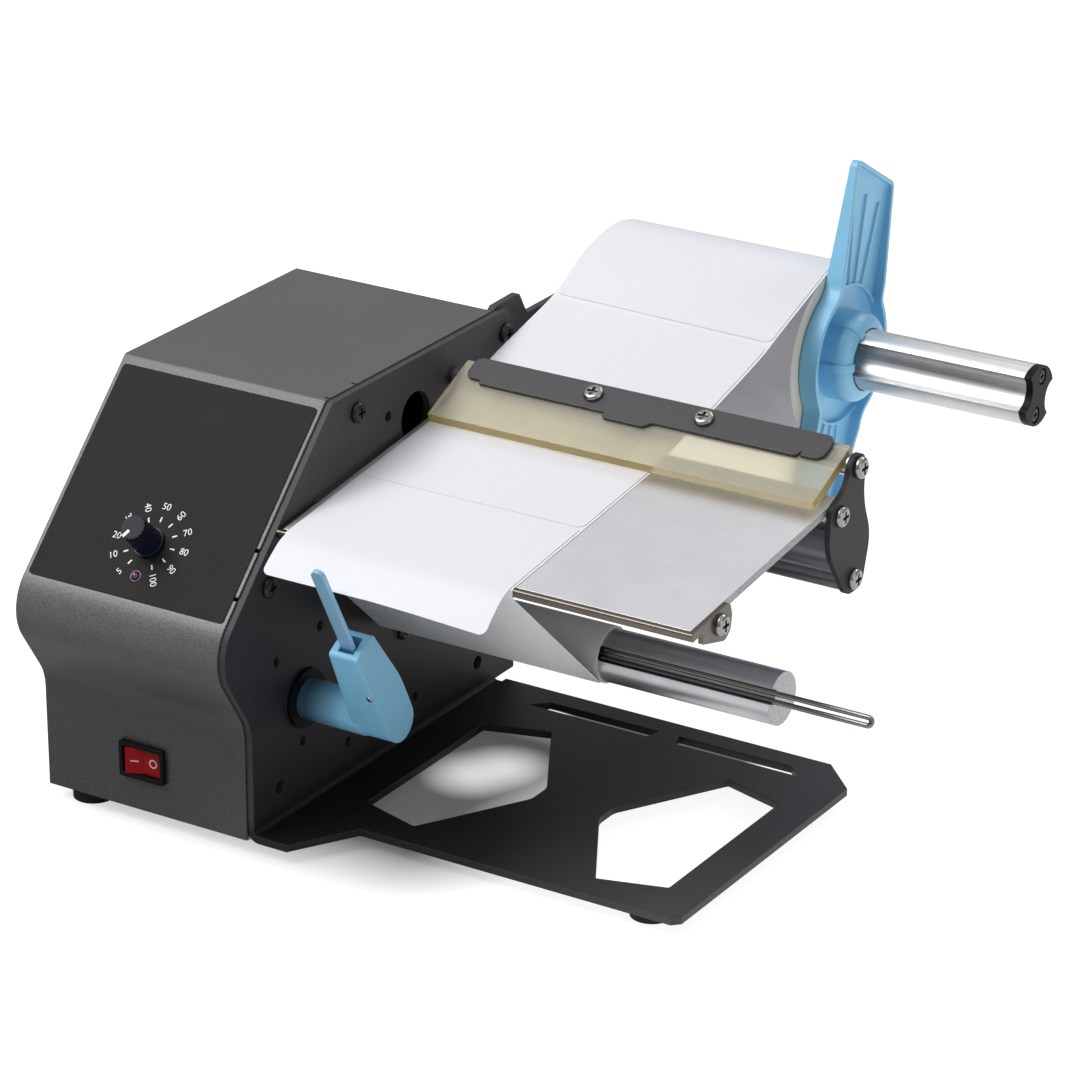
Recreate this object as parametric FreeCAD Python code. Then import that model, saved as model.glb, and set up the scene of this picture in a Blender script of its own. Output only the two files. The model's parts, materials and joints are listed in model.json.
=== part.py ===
"""Desk-top label dispenser: a motor housing on the left, a foot plate and feed path to its right.

Measured from the outer face of the side wall (x = 0), the housing's front face (y = 0) and
the table (z = 0).  +X runs along the rollers, +Y to the back, +Z up.  Just before export all
pieces move together, so that the origin is the middle of the whole footprint on the table.
"""
import FreeCAD
import Part
import math
import os

V = FreeCAD.Vector

# ---- driving dimensions, mm and degrees -------------------------------------------------------
# housing
wall_t = 3.0            # bent steel side wall and foot plate
sheet_t = 1.5           # cover, rear panel and floor tray
housing_w = 98.0        # wall's outer face to the cover's left face
housing_h = 168.0       # table to the flat top
housing_d = 175.0       # front face to the rear panel
floor_z = 5.5           # under side of foot plate and tray
waist_z = 53.9          # where the front starts to lean out
front_lean = 32.0       # lean of the lower front, from upright
panel_tilt = 45.0       # slope of the control panel
panel_top_y = 58.5      # where the slope meets the flat top
brow_r = 20.0           # bends of the front sheet
top_bend_r = 2.0
wall_inset = 0.8        # wall edge inside the cover's outer skin
wall_rear_y = 186.0
wall_chamfer = 4.5
tab_relief = 1.6        # square cuts either side of the cover's locking tabs
tab_depth = 2.2
slope_tab = (-13.4, 7.1)
roof_tab = (60.0, 78.0)

# foot plate
foot_reach = 172.5      # wall to the right edge
foot_front_y = 27.4
foot_rear_y = 174.0
foot_toe_w = 15.0       # width of the toe that runs to the housing's front
foot_flare_w = 16.0
foot_corner = 3.0
foot_big_corner = 16.0
bend_r = 2.0            # inside of the bend between wall and foot plate
window_mid_x = 88.1     # the two windows mirror about this line
window_mid_y = 90.3
window_inner = 15.4
window_peak = 41.0
window_outer = 68.3
window_half_in = 5.5
window_half_peak = 50.0
window_half_out = 42.0
slot_start = 4.5
slot_len = 58.0
slot_w = 6.5
slot_rear_gap = 10.0
foot_pad_r = 8.5

# control panel, measured from the middle of the speed dial
dial_x = -49.5
dial_down = 72.8        # below the panel's top bend, along the slope
overlay_t = 0.4
overlay_gap = 4.2       # panel bend to the overlay's top edge
overlay_h = 92.0
overlay_left = 46.7
overlay_right = 44.9
overlay_corner = 1.6
knob_r = 6.3
knob_top_r = 5.1
knob_h = 14.5
knob_flutes = 18
pot_bush_r = 3.5
pot_shaft_r = 3.0
pot_body_r = 8.25
pot_depth = 9.0
led_down = 13.9
led_r = 1.5
board_w = 44.0
board_h = 42.0
board_t = 1.6

# rocker switch
switch_x = -51.2
switch_z = 27.35
bezel_w = 21.0
bezel_h = 15.0
bezel_rim = 2.0
switch_body_w = 18.8
switch_body_h = 12.9
switch_depth = 16.0
rocker_w = 15.6
rocker_room = 1.1       # room beside the rocker for its swing
rocker_h = 10.8
rocker_tilt = 10.0
rocker_axis_y = 3.0
trunnion = 0.8          # round stubs on the rocker's ends, on which it rocks
trunnion_r = 1.2

# rewind drive
rewind_y = 90.0
rewind_z = 76.0
rewind_r = 10.5
rewind_gap = 2.0        # wall to the rod's left end
rewind_end_x = 180.0
shaft_r = 4.0
bearing_r = 11.0
bearing_w = 7.0
block_w = 11.0
gear_module = 1.0
gear_teeth = 40
pinion_teeth = 20
gear_w = 8.0
motor_r = 18.0
gearbox_r = 18.5
gearbox_len = 22.0
motor_len = 31.0
bracket_t = 3.0
bracket_x = -32.0       # motor side of the gear bracket
groove_dir = 25.0       # groove's height angle above straight forward
groove_w = 5.8
groove_depth = 4.2
clip_wire_r = 1.05
clip_pitch = 3.1
clip_start_x = 30.0
clip_end_x = 222.5

# supply side
spindle_y = 262.5
spindle_z = 144.2
spindle_tilt = 17.5     # the flutes' middle line leans back by this much
spindle_end_x = 194.5
spindle_r = 12.4
flute_edge = 6.7        # half height of a flute
flute_waist = 6.3       # half width left between the two flutes
channel = 7.8           # screw channels, above and below the axis
cap_t = 3.0
arm_t = 3.0
arm_front_y = 150.0
arm_low_z = 129.0
arm_end_r = 14.7
horn_front_y = 176.5
horn_rear_y = 195.6
horn_top_z = 169.2
roll_r = 36.2
core_r = 14.7
core_bore_r = 12.7

# label web
web_x0 = 4.5
web_w = 101.0
liner_t = 0.30
label_t = 0.25
label_margin = 1.0
label_len = 69.0
label_pitch = 71.5
first_label_on = 47.5   # how much of the leading label still lies on the plate
label_tip_y = 2.5
label_tip_drop = 10.0
wrap_t = 0.8
sag_y = 205.3           # where the free web bends between plate and roll
sag_z = 162.7
crest_y = 236.0
crest_z = 175.6
cling = 52.0            # degrees the web stays on the roll past its crest

# peel plate and beam
plate_y = 21.5          # front edge of the plate's top face
plate_z = 129.0
plate_tilt = 7.0
plate_len = 110.8
plate_t = 3.2
plate_left = 2.0
plate_right = 179.4
boss_r = 3.7
boss_drop = 5.9
boss_front = 17.9
boss_rear = plate_len - 3.3
strip_t = 2.0
strip_h = 3.3
nose_r = 0.9            # rounded front edges of the strip
ear_t = 1.9
end_plate_t = 2.2
beam_y = 136.5
beam_z = 120.5
beam_r = 10.5
beam_wall = 2.0
beam_lobe_y = 140.6
beam_lobe_z = 106.6
beam_lobe_r = 5.4

# press flap
pivot_y = 142.5
pivot_z = 151.5
flap_tilt = 24.2
flap_left = 5.5
flap_right = 177.0
flap_front = 27.5
flap_back = 4.6
flap_t = 4.0
flap_seat = 1.6         # flat on the pivot shaft, above its axis
pivot_r = 4.0
journal_r = 2.5
bar_left = 10.0
bar_right = 170.5
bar_front = 7.4
bar_back = 6.1
bar_t = 1.5
bar_tongue = 3.0        # tongue on the bar's front edge
bar_tongue_x0 = 75.5
bar_tongue_x1 = 97.0
bar_screw_x = (66.5, 115.9)

# label sensor
sensor_y = 36.2
sensor_z = 53.3
tube_r = 8.25
bush_r = 12.0
holder_lean = 31.0
holder_x0 = 27.6
holder_x1 = 44.3
holder_top_x0 = 30.5
holder_top_x1 = 43.0
holder_len = 44.7
holder_front = 4.7
pocket_x0 = 33.3
pocket_x1 = 40.2
pocket_v0 = -2.4
pocket_v1 = 5.6
pocket_floor = 14.0
holder_swell = 2.4       # how far the holder's back swells out past the tube, and where
holder_swell_u = 17.0
pocket_undercut = 1.7   # the pocket is deeper towards the front below its lip
pocket_lip = 7.0
finger_w = 5.4
finger_t = 2.0
finger_len = 64.0       # pin to the finger's tip
finger_back = 3.5       # the finger leans back by this in the holder
pin_v = -1.07
pin_u = 24.0
pin_r = 1.0

# width guide
wing_x = 105.9
wing_disc_t = 7.7
wing_disc_r = 30.0
wing_hub_r = 18.6
wing_hub_x = 121.0
wing_hub_round = 5.5
wing_lead_tip = 14.9    # leading edge of a paddle, from the middle line
wing_lead_root = 18.8
wing_trail = 19.4       # trailing edge, parallel to the middle line
wing_long = 79.3
wing_short = 71.0
wing_lead_hollow = 12.0 # hollow rounds between a paddle's sides and the disc
wing_trail_hollow = 6.0
wing_tip_t = 2.6
wing_rim = 1.8
wing_floor_root = 3.1   # floor of a paddle's pocket above its back
wing_floor_tip = 1.5
wing_relief = 0.9       # height of the ribs and of the lip round the hollow
wing_lip_w = 1.1
wing_valley = 5.9       # depth of the hollow between rim and hub
wing_bore = 12.9
wing_key = 3.0
wing_ribs = ((-5.5, -11.9, 68.3), (-0.3, -0.7, 64.9), (5.5, 11.2, 61.9))   # root, tip, tip's reach

# fits and small hardware
slip = 0.05             # radial clearance of a running fit
loose = 0.3             # clearance round soft or loosely held pieces
pan_r = 4.2             # visible M4 pan head screws
pan_h = 2.4
screw_r = 2.0
hidden_pan_r = 3.6      # M4 screws driven from inside the housing
hidden_pan_h = 2.2
small_pan_r = 2.8       # M3 screws of the case and its brackets
small_pan_h = 1.8
small_r = 1.5
small_len = 6.0
nut_r = 4.0
nut_t = 3.0
nodes = {}


# ---- drawing helpers --------------------------------------------------------------------------
def box(x0, x1, y0, y1, z0, z1):
    return Part.makeBox(x1 - x0, y1 - y0, z1 - z0, V(x0, y0, z0))


def x_rod(x0, x1, y, z, r):
    return Part.makeCylinder(r, x1 - x0, V(x0, y, z), V(1, 0, 0))


def z_rod(z0, z1, x, y, r):
    return Part.makeCylinder(r, z1 - z0, V(x, y, z0), V(0, 0, 1))


def outline(corners, plane):
    """Closed face through corners (a, b) or (a, b, radius), on the yz, xz or xy plane."""
    put = {"yz": lambda a, b: V(0, a, b),
           "xz": lambda a, b: V(a, 0, b),
           "xy": lambda a, b: V(a, b, 0)}[plane]
    starts, ends, mids = [], [], []
    count = len(corners)
    for i, corner in enumerate(corners):
        here = put(corner[0], corner[1])
        radius = corner[2] if len(corner) > 2 else 0
        back = (put(*corners[i - 1][:2]) - here).normalize()
        ahead = (put(*corners[(i + 1) % count][:2]) - here).normalize()
        half = back.getAngle(ahead) / 2
        if radius <= 0:
            starts.append(here)
            ends.append(here)
            mids.append(None)
            continue
        reach = radius / math.tan(half)
        inward = (back + ahead).normalize()
        starts.append(here + back * reach)
        ends.append(here + ahead * reach)
        mids.append(here + inward * (radius / math.sin(half) - radius))
    edges = []
    for i in range(count):
        if mids[i] is not None:
            edges.append(Part.Arc(starts[i], mids[i], ends[i]).toShape())
        after = starts[(i + 1) % count]
        if ends[i].distanceToPoint(after) > 1e-6:
            edges.append(Part.LineSegment(ends[i], after).toShape())
    return Part.Face(Part.Wire(edges))


def slab(face, start, stop):
    """The face pushed through from start to stop along its own normal axis."""
    n = face.normalAt(0, 0)
    axis = V(abs(round(n.x)), abs(round(n.y)), abs(round(n.z)))
    solid = face.extrude(axis * (stop - start))
    solid.translate(axis * start)
    return solid


def tilted(shape, degrees, y, z):
    """A piece drawn about the X axis, turned by degrees and carried to (y, z)."""
    copy = shape.copy()
    copy.rotate(V(0, 0, 0), V(1, 0, 0), degrees)
    copy.translate(V(0, y, z))
    return copy


def fuse(*shapes):
    return shapes[0].multiFuse(list(shapes[1:])).removeSplitter()


def group(shapes):
    return Part.makeCompound(list(shapes))


def beside(points, thick):
    """The line of points (y, z) or (y, z, radius) moved sideways, to its left, by thick."""
    flat = [V(0, p[0], p[1]) for p in points]
    normals = []
    for a, b in zip(flat, flat[1:]):
        d = (b - a).normalize()
        normals.append(V(0, -d.z, d.y))
    far = []
    for i, p in enumerate(points):
        n0 = normals[max(i - 1, 0)]
        n1 = normals[min(i, len(normals) - 1)]
        shift = (n0 + n1) * (thick / (1 + n0.dot(n1)))
        radius = p[2] if len(p) > 2 else 0
        turn = 0
        if 0 < i < len(points) - 1:
            turn = n0.y * n1.z - n0.z * n1.y
        far_radius = radius - thick if turn > 0 else radius + thick
        far.append((p[0] + shift.y, p[1] + shift.z, far_radius if radius else 0))
    return far


def ribbon(points, thick):
    """Section of a strip that has the given line as one face and is thick to its left."""
    return outline(list(points) + beside(points, thick)[::-1], "yz")


def involute(angle):
    return math.tan(angle) - angle


def gear(teeth, x0, x1, y, z, turn, bore_r):
    """Spur gear with involute flanks at 20 degrees and a little backlash."""
    pressure = math.radians(20.0)
    backlash = 0.06
    pitch_r = gear_module * teeth / 2
    base_r = pitch_r * math.cos(pressure)
    tip_r = pitch_r + gear_module
    root_r = pitch_r - 1.25 * gear_module
    half = math.pi / (2 * teeth) - backlash / pitch_r + involute(pressure)
    flank = []
    steps = 4
    low_r = max(base_r, root_r)
    for k in range(steps + 1):
        r = low_r + (tip_r - low_r) * k / steps
        flank.append((r, half - involute(math.acos(min(1.0, base_r / r)))))
    if root_r < low_r:
        flank.insert(0, (root_r, flank[0][1]))
    corners = []
    for tooth in range(teeth):
        middle = math.radians(turn) + 2 * math.pi * tooth / teeth
        for r, a in flank:
            corners.append((y + r * math.cos(middle - a), z + r * math.sin(middle - a)))
        for r, a in flank[::-1]:
            corners.append((y + r * math.cos(middle + a), z + r * math.sin(middle + a)))
    return slab(outline(corners, "yz"), x0, x1).cut(x_rod(x0 - 1, x1 + 1, y, z, bore_r))


def fluted(grow):
    """Section of the spindle about the origin: a round bar with a hollow flute either side."""
    r = spindle_r + grow
    edge = flute_edge - grow
    shoulder = math.sqrt(r ** 2 - edge ** 2)
    waist = flute_waist + grow
    arcs = [
        Part.Arc(V(0, shoulder, edge), V(0, 0, r), V(0, -shoulder, edge)),
        Part.Arc(V(0, -shoulder, edge), V(0, -waist, 0), V(0, -shoulder, -edge)),
        Part.Arc(V(0, -shoulder, -edge), V(0, 0, -r), V(0, shoulder, -edge)),
        Part.Arc(V(0, shoulder, -edge), V(0, waist, 0), V(0, shoulder, edge)),
    ]
    return Part.Face(Part.Wire([a.toShape() for a in arcs]))


def pan_screw(length, head_r=pan_r, head_h=pan_h, r=screw_r):
    """Pan head screw with a cross recess, head standing on z = 0 and shank below it."""
    dome = Part.makeCylinder(head_r, head_h)
    rim = [e for e in dome.Edges if e.BoundBox.ZMin > head_h / 2]
    dome = dome.makeFillet(head_h * 0.7, rim)
    cross_l = head_r * 0.55
    cross_w = head_r * 0.14
    for w, l in ((cross_l, cross_w), (cross_w, cross_l)):
        dome = dome.cut(box(-w, w, -l, l, head_h * 0.45, head_h + 1))
    return dome.fuse(Part.makeCylinder(r, length, V(0, 0, -length))).removeSplitter()


def screw_at(point, outward, length, head_r=pan_r, head_h=pan_h, r=screw_r):
    s = pan_screw(length, head_r, head_h, r)
    s.Placement = FreeCAD.Placement(V(*point), FreeCAD.Rotation(V(0, 0, 1), V(*outward)))
    return s


# ---- housing profile --------------------------------------------------------------------------
lean = math.radians(front_lean)
slope = math.radians(panel_tilt)
panel_foot_z = housing_h - panel_top_y * math.tan(slope)
brow = (panel_foot_z - waist_z) / (math.cos(lean) + math.sin(lean) * math.tan(slope))
brow_y = -brow * math.sin(lean)
brow_z = waist_z + brow * math.cos(lean)
cover_low_z = floor_z + 0.5


def housing_profile(rear_y, low_z):
    """Side view of the housing: upright front, lean-out, brow, 45 degree panel, flat top."""
    return outline([
        (0, low_z), (0, waist_z, brow_r), (brow_y, brow_z, brow_r), (panel_top_y, housing_h, top_bend_r),
        (rear_y, housing_h), (rear_y, low_z),
    ], "yz")


outer_skin = housing_profile(housing_d, cover_low_z)
inner_skin = outer_skin.makeOffset2D(-sheet_t)
panel_up = V(0, math.cos(slope), math.sin(slope))
dial_y = panel_top_y - dial_down * panel_up.y
dial_z = housing_h - dial_down * panel_up.z


def on_panel(shape):
    """Carries a piece drawn about the dial's middle (X right, Y up the slope, Z out) to the panel."""
    return tilted(shape, panel_tilt, dial_y, dial_z).translate(V(dial_x, 0, 0))


# ---- side wall and foot plate, one bent sheet -------------------------------------------------
cover_screws = [(74.6, housing_h - 9.7), (14.0, 107.5)]
arm_screws = [(180.0, 157.6), (163.0, 146.0)]
standoff_yz = (104.0, 55.3)
standoff_r = 3.4        # clears the rewind gear's teeth
standoff_screw_r = 1.9
spare_holes = [(96.1, 149.5, 2.2), (47.4, 79.1, 2.2), (18.2, 74.9, 2.2), (34.6, 35.4, 2.2),
               (65.1, 22.5, 2.2), (112.7, 23.3, 2.2), (139.4, 41.7, 2.2), (18.8, 21.7, 3.0),
               (158.5, 20.6, 3.0), (115.0, 143.5, 10.0)]


def window(side):
    """One of the two six-sided windows, mirrored about the plate's middle line."""
    c = [(window_inner, -window_half_in, 8), (window_peak, -window_half_peak, 1),
         (window_outer, -window_half_out, 1), (window_outer, window_half_out, 1),
         (window_peak, window_half_peak, 1), (window_inner, window_half_in, 8)]
    return outline([(window_mid_x + side * x, window_mid_y + y, r) for x, y, r in c], "xy")


def slot(side):
    y1 = foot_rear_y - slot_rear_gap
    end = slot_start + slot_len
    c = [(slot_start, y1), (end - slot_w, y1), (end, y1 - slot_w), (slot_start + 2, y1 - slot_w)]
    return outline([(window_mid_x + side * x, y) for x, y in c], "xy")


def make_side_frame():
    plate_top = floor_z + wall_t
    tall = housing_h + 5
    bent = outline([
        (-wall_t, tall), (-wall_t, floor_z, bend_r + wall_t), (foot_reach, floor_z),
        (foot_reach, plate_top), (0, plate_top, bend_r), (0, tall),
    ], "xz")
    sheet = bent.extrude(V(0, wall_rear_y + 50, 0))
    sheet.translate(V(0, -25, 0))
    wall_face = housing_profile(wall_rear_y + wall_inset, floor_z).makeOffset2D(-wall_inset)
    wall = slab(wall_face, -wall_t, 0)
    wall_top = housing_h - wall_inset
    corner = outline([(wall_rear_y - wall_chamfer, tall), (wall_rear_y + 9, tall),
                      (wall_rear_y + 9, housing_h - 9), (wall_rear_y, wall_top - wall_chamfer),
                      (wall_rear_y - wall_chamfer, wall_top)], "yz")
    wall = wall.cut(slab(corner, -wall_t - 1, 1))
    relief = 3.0
    foot = outline([
        (-wall_t, wall_inset), (foot_toe_w, wall_inset), (foot_toe_w + foot_flare_w, foot_front_y),
        (foot_reach - foot_corner, foot_front_y), (foot_reach, foot_front_y + foot_corner),
        (foot_reach, foot_rear_y - foot_big_corner), (foot_reach - foot_big_corner, foot_rear_y),
        (bend_r + 2, foot_rear_y), (bend_r + 2, foot_rear_y - relief), (-wall_t, foot_rear_y - relief),
    ], "xy")
    base = slab(foot, floor_z, plate_top + bend_r)
    wall_low = box(-wall_t - 1, 1, foot_rear_y - relief, wall_rear_y + 1, 0, plate_top)
    solid = sheet.common(fuse(wall.cut(wall_low), base))
    for side in (-1, 1):
        solid = solid.cut(slab(window(side), 0, 20))
        solid = solid.cut(slab(slot(side), 0, 20))
    holes = [(y, z, screw_r + 0.2) for y, z in cover_screws + arm_screws + [standoff_yz]] + spare_holes
    holes += [(sensor_y, sensor_z, bush_r - 2), (rewind_y, rewind_z, shaft_r + 1)]
    holes.append((pivot_y, pivot_z, journal_r + slip))
    holes += [(y, z, screw_r + 0.2) for y, z in rail_screws()]
    for y, z, r in holes:
        solid = solid.cut(x_rod(-wall_t - 1, 1, y, z, r))
    return solid


def plate_point(along, up):
    """(y, z) of a point given along and above the peel plate's top face."""
    a = math.radians(plate_tilt)
    return (plate_y + along * math.cos(a) - up * math.sin(a),
            plate_z + along * math.sin(a) + up * math.cos(a))


def rail_screws():
    """Ends of the peel plate and beam that are screwed from inside the housing."""
    bosses = [plate_point(along, -boss_drop) for along in (boss_front, boss_rear)]
    return bosses + [(beam_lobe_y, beam_lobe_z)]


nodes["side_frame"] = make_side_frame()


# ---- cover, rear panel, floor tray ------------------------------------------------------------
def make_cover():
    shell = slab(outer_skin, -housing_w, -wall_t)
    shell = shell.cut(slab(inner_skin, -housing_w + sheet_t, 0))
    shell = shell.cut(box(-housing_w + sheet_t, 0, sheet_t, housing_d + 1, 0, cover_low_z + 5))
    shell = shell.cut(box(-housing_w + sheet_t, 0, housing_d - sheet_t, housing_d + 1,
                          0, housing_h - sheet_t))
    opening = box(switch_x - switch_body_w / 2, switch_x + switch_body_w / 2, -1, 5,
                  switch_z - switch_body_h / 2, switch_z + switch_body_h / 2)
    shell = shell.cut(opening)
    shell = shell.cut(on_panel(Part.makeCylinder(pot_bush_r + 0.1, 10, V(0, 0, -5))))
    shell = shell.cut(on_panel(Part.makeCylinder(led_r + 0.4, 10, V(0, -led_down, -5))))
    for up in slope_tab:
        shell = shell.cut(on_panel(box(-dial_x - wall_t - tab_depth, -dial_x, up, up + tab_relief, -5, 5)))
    for back in roof_tab:
        shell = shell.cut(box(-wall_t - tab_depth, 0, back, back + tab_relief, housing_h - 5, housing_h + 5))
    return shell


nodes["cover"] = make_cover()

inlet_x = -58.0
inlet_z = 46.0
inlet_w = 27.5
inlet_h = 20.0
arm_slot_z0 = arm_low_z - 3
arm_slot_z1 = spindle_z + arm_end_r + 2.5
louvres = 6
louvre_x0 = -80.0
louvre_x1 = -40.0
louvre_low_z = 62.0
louvre_h = 3.0
louvre_pitch = 7.0
rear_screw_at = [(x, z) for x in (-housing_w + 12, -18) for z in (20, housing_h - 14)]


def make_rear_panel():
    panel = box(-housing_w + sheet_t, -wall_t, housing_d - sheet_t, housing_d,
                floor_z + sheet_t, housing_h - sheet_t)
    panel = panel.cut(box(-wall_t - arm_t - 0.6, 0, housing_d - 5, housing_d + 5, arm_slot_z0, arm_slot_z1))
    panel = panel.cut(box(inlet_x - inlet_w / 2, inlet_x + inlet_w / 2, housing_d - 5, housing_d + 5,
                          inlet_z - inlet_h / 2, inlet_z + inlet_h / 2))
    for k in range(louvres):
        z = louvre_low_z + louvre_pitch * k
        panel = panel.cut(box(louvre_x0, louvre_x1, housing_d - 5, housing_d + 5, z, z + louvre_h))
    for x, z in rear_screw_at:
        panel = panel.cut(Part.makeCylinder(small_r, 10, V(x, housing_d - 5, z), V(0, 1, 0)))
    return panel


nodes["rear_panel"] = make_rear_panel()


def make_tray():
    inner = -housing_w + sheet_t
    tray = box(inner, -wall_t, sheet_t, housing_d - sheet_t, floor_z, floor_z + sheet_t)
    flange = box(-wall_t - sheet_t, -wall_t, 26, housing_d - 12, floor_z, floor_z + 12)
    front = box(inner, -wall_t - 12, sheet_t, 2 * sheet_t, floor_z, floor_z + 12)
    left = box(inner, inner + sheet_t, sheet_t, housing_d - sheet_t, floor_z, floor_z + 12)
    return fuse(tray, flange, front, left)


nodes["floor_tray"] = make_tray().cut(nodes["side_frame"])
lug_w = 12.0
lug_d = 9.0
lug_back = housing_d - sheet_t


def add_rear_lugs():
    """Threaded lugs behind the rear panel's screws: two welded to the tray, two to the cover."""
    for x, z in rear_screw_at:
        low = z < housing_h / 2
        z0, z1 = (floor_z + sheet_t, z + 6) if low else (z - 6, housing_h - sheet_t)
        lug = box(x - lug_w / 2, x + lug_w / 2, lug_back - lug_d, lug_back, z0, z1)
        lug = lug.cut(Part.makeCylinder(small_r, lug_d + 2, V(x, lug_back - lug_d - 1, z), V(0, 1, 0)))
        owner = "floor_tray" if low else "cover"
        nodes[owner] = fuse(nodes[owner], lug)


add_rear_lugs()

pads = [(-housing_w + 13.5, 11), (-housing_w + 13.5, foot_rear_y - 10), (9, 45), (9, foot_rear_y - 12)]
pads += [(foot_reach - 19, foot_front_y + 13.5), (foot_reach - foot_pad_r - 5.5, foot_rear_y - 19)]
nodes["rubber_feet"] = group(z_rod(0, floor_z, x, y, foot_pad_r) for x, y in pads)

side_screw_len = wall_t + arm_t + nut_t
nodes["side_screws"] = group(
    [screw_at((0, y, z), (1, 0, 0), side_screw_len) for y, z in cover_screws + arm_screws]
    + [screw_at((0, *standoff_yz), (1, 0, 0), side_screw_len, 3.4, 2.0, standoff_screw_r)])


def nut_at(x, y, z):
    return x_rod(x - nut_t, x, y, z, nut_r).cut(x_rod(x - 20, x, y, z, screw_r))


nodes["wall_nuts"] = group([nut_at(-wall_t, y, z) for y, z in cover_screws]
                           + [nut_at(-wall_t - arm_t, y, z) for y, z in arm_screws])


# ---- control panel ----------------------------------------------------------------------------
def make_overlay():
    top = dial_down - overlay_gap
    low = top - overlay_h
    corners = ((-overlay_left, low), (overlay_right, low), (overlay_right, top), (-overlay_left, top))
    sheet = slab(outline([(x, y, overlay_corner) for x, y in corners], "xy"), 0, overlay_t)
    sheet = sheet.cut(Part.makeCylinder(pot_bush_r + 0.1, 3, V(0, 0, -1)))
    return on_panel(sheet.cut(Part.makeCylinder(led_r + 0.4, 3, V(0, -led_down, -1))))


nodes["panel_overlay"] = make_overlay()

nut_h = 2.0
pot_back = -sheet_t - pot_depth
body = Part.makeCylinder(pot_body_r, pot_depth, V(0, 0, pot_back))
bush = Part.makeCylinder(pot_bush_r, sheet_t + overlay_t + nut_h + 1.0, V(0, 0, -sheet_t))
bore = Part.makeCylinder(pot_shaft_r + slip, 30, V(0, 0, pot_back + 3))
sixths = [k * math.pi / 3 for k in range(7)]
pot_nut_r = 4.9
hexagon = Part.makePolygon([V(pot_nut_r * math.cos(a), pot_nut_r * math.sin(a), overlay_t) for a in sixths])
pot_nut = Part.Face(hexagon).extrude(V(0, 0, nut_h)).cut(Part.makeCylinder(pot_bush_r, 9, V(0, 0, -1)))
nodes["potentiometer"] = group([on_panel(fuse(body, bush).cut(bore)), on_panel(pot_nut)])
knob_base = overlay_t + 0.5
nodes["pot_shaft"] = on_panel(Part.makeCylinder(pot_shaft_r, 14.0 - pot_back - 3.2, V(0, 0, pot_back + 3.2)))


def make_knob():
    skirt = Part.makeCylinder(knob_r, 1.6, V(0, 0, knob_base))
    grip = Part.makeCone(knob_r - 0.5, knob_top_r, knob_h - 1.6, V(0, 0, knob_base + 1.6))
    knob = skirt.fuse(grip)
    for k in range(knob_flutes):
        a = 2 * math.pi * (k + 0.5) / knob_flutes
        low = V((knob_r + 0.05) * math.cos(a), (knob_r + 0.05) * math.sin(a), knob_base + 1.6)
        high = V((knob_top_r + 0.35) * math.cos(a), (knob_top_r + 0.35) * math.sin(a),
                 knob_base + knob_h + 0.2)
        knob = knob.cut(Part.makeCylinder(0.7, (high - low).Length, low, high - low))
    knob = knob.cut(Part.makeCylinder(5.3, 3.2, V(0, 0, knob_base - 0.1)))
    return on_panel(knob.cut(Part.makeCylinder(pot_shaft_r, 14.0 - knob_base, V(0, 0, knob_base))))


nodes["speed_knob"] = make_knob()
lens = Part.makeCylinder(led_r, 5.1, V(0, -led_down, -4.5)).fuse(Part.makeSphere(led_r, V(0, -led_down, 0.6)))
rim = Part.makeCylinder(led_r + 0.4, 1.0, V(0, -led_down, -4.5))
legs = [Part.makeCylinder(0.25, -4.5 - pot_back, V(dx, -led_down, pot_back)) for dx in (-0.8, 0.8)]
nodes["status_lamp"] = on_panel(fuse(lens, rim, *legs))


def make_control_board():
    top = pot_back
    pieces = [box(-board_w / 2, board_w / 2, -board_h / 2 - 4, board_h / 2 - 4, top - board_t, top)]
    pieces.append(box(-20, -12, -20, -2, top - board_t - 9, top - board_t))
    pieces.append(box(-6, 6, -22, -14, top - board_t - 4, top - board_t))
    pieces.append(box(12, 20, -18, 4, top - board_t - 8, top - board_t))
    for x in (-16, -4, 8):
        pieces.append(Part.makeCylinder(3.2, 10, V(x, 10, top - board_t - 10)))
    return on_panel(fuse(*pieces))


nodes["control_board"] = make_control_board()


# ---- rocker switch ----------------------------------------------------------------------------
def make_switch_body():
    x, z = switch_x, switch_z
    rim_face = outline([(x + sx * bezel_w / 2, z + sz * bezel_h / 2, 0.8)
                        for sx, sz in ((-1, -1), (1, -1), (1, 1), (-1, 1))], "xz")
    bezel = slab(rim_face, -bezel_rim, 0)
    can = box(x - switch_body_w / 2, x + switch_body_w / 2, 0, switch_depth,
              z - switch_body_h / 2, z + switch_body_h / 2)
    half = rocker_w / 2 + rocker_room
    well = box(x - half, x + half, -9, 8, z - rocker_h / 2 - loose, z + rocker_h / 2 + loose)
    tags = [box(x + dx - 2, x + dx + 2, switch_depth, switch_depth + 6, z - 0.4, z + 0.4) for dx in (-5, 5)]
    seat = rocker_h / 2 + trunnion + 0.1
    seats = z_rod(z - seat, z + seat, x, rocker_axis_y, trunnion_r + slip)
    return fuse(bezel, can, *tags).cut(well).cut(seats)


nodes["switch_body"] = make_switch_body()


def make_rocker():
    """Paddle with two shallow faces that meet in the middle, rocked towards its right side."""
    half = rocker_w / 2
    face = outline([(-half, -4.6), (0, -3.4), (half, -4.6), (half, 1.6),
                    (2.5, 3.6), (-2.5, 3.6), (-half, 1.6)], "xy")
    paddle = slab(face, -rocker_h / 2, rocker_h / 2)
    paddle = paddle.fuse(z_rod(-rocker_h / 2 - trunnion, rocker_h / 2 + trunnion, 0, 0, trunnion_r))
    paddle.rotate(V(0, 0, 0), V(0, 0, 1), rocker_tilt)
    return paddle.translate(V(switch_x, rocker_axis_y, switch_z))


nodes["rocker"] = make_rocker()

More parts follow.
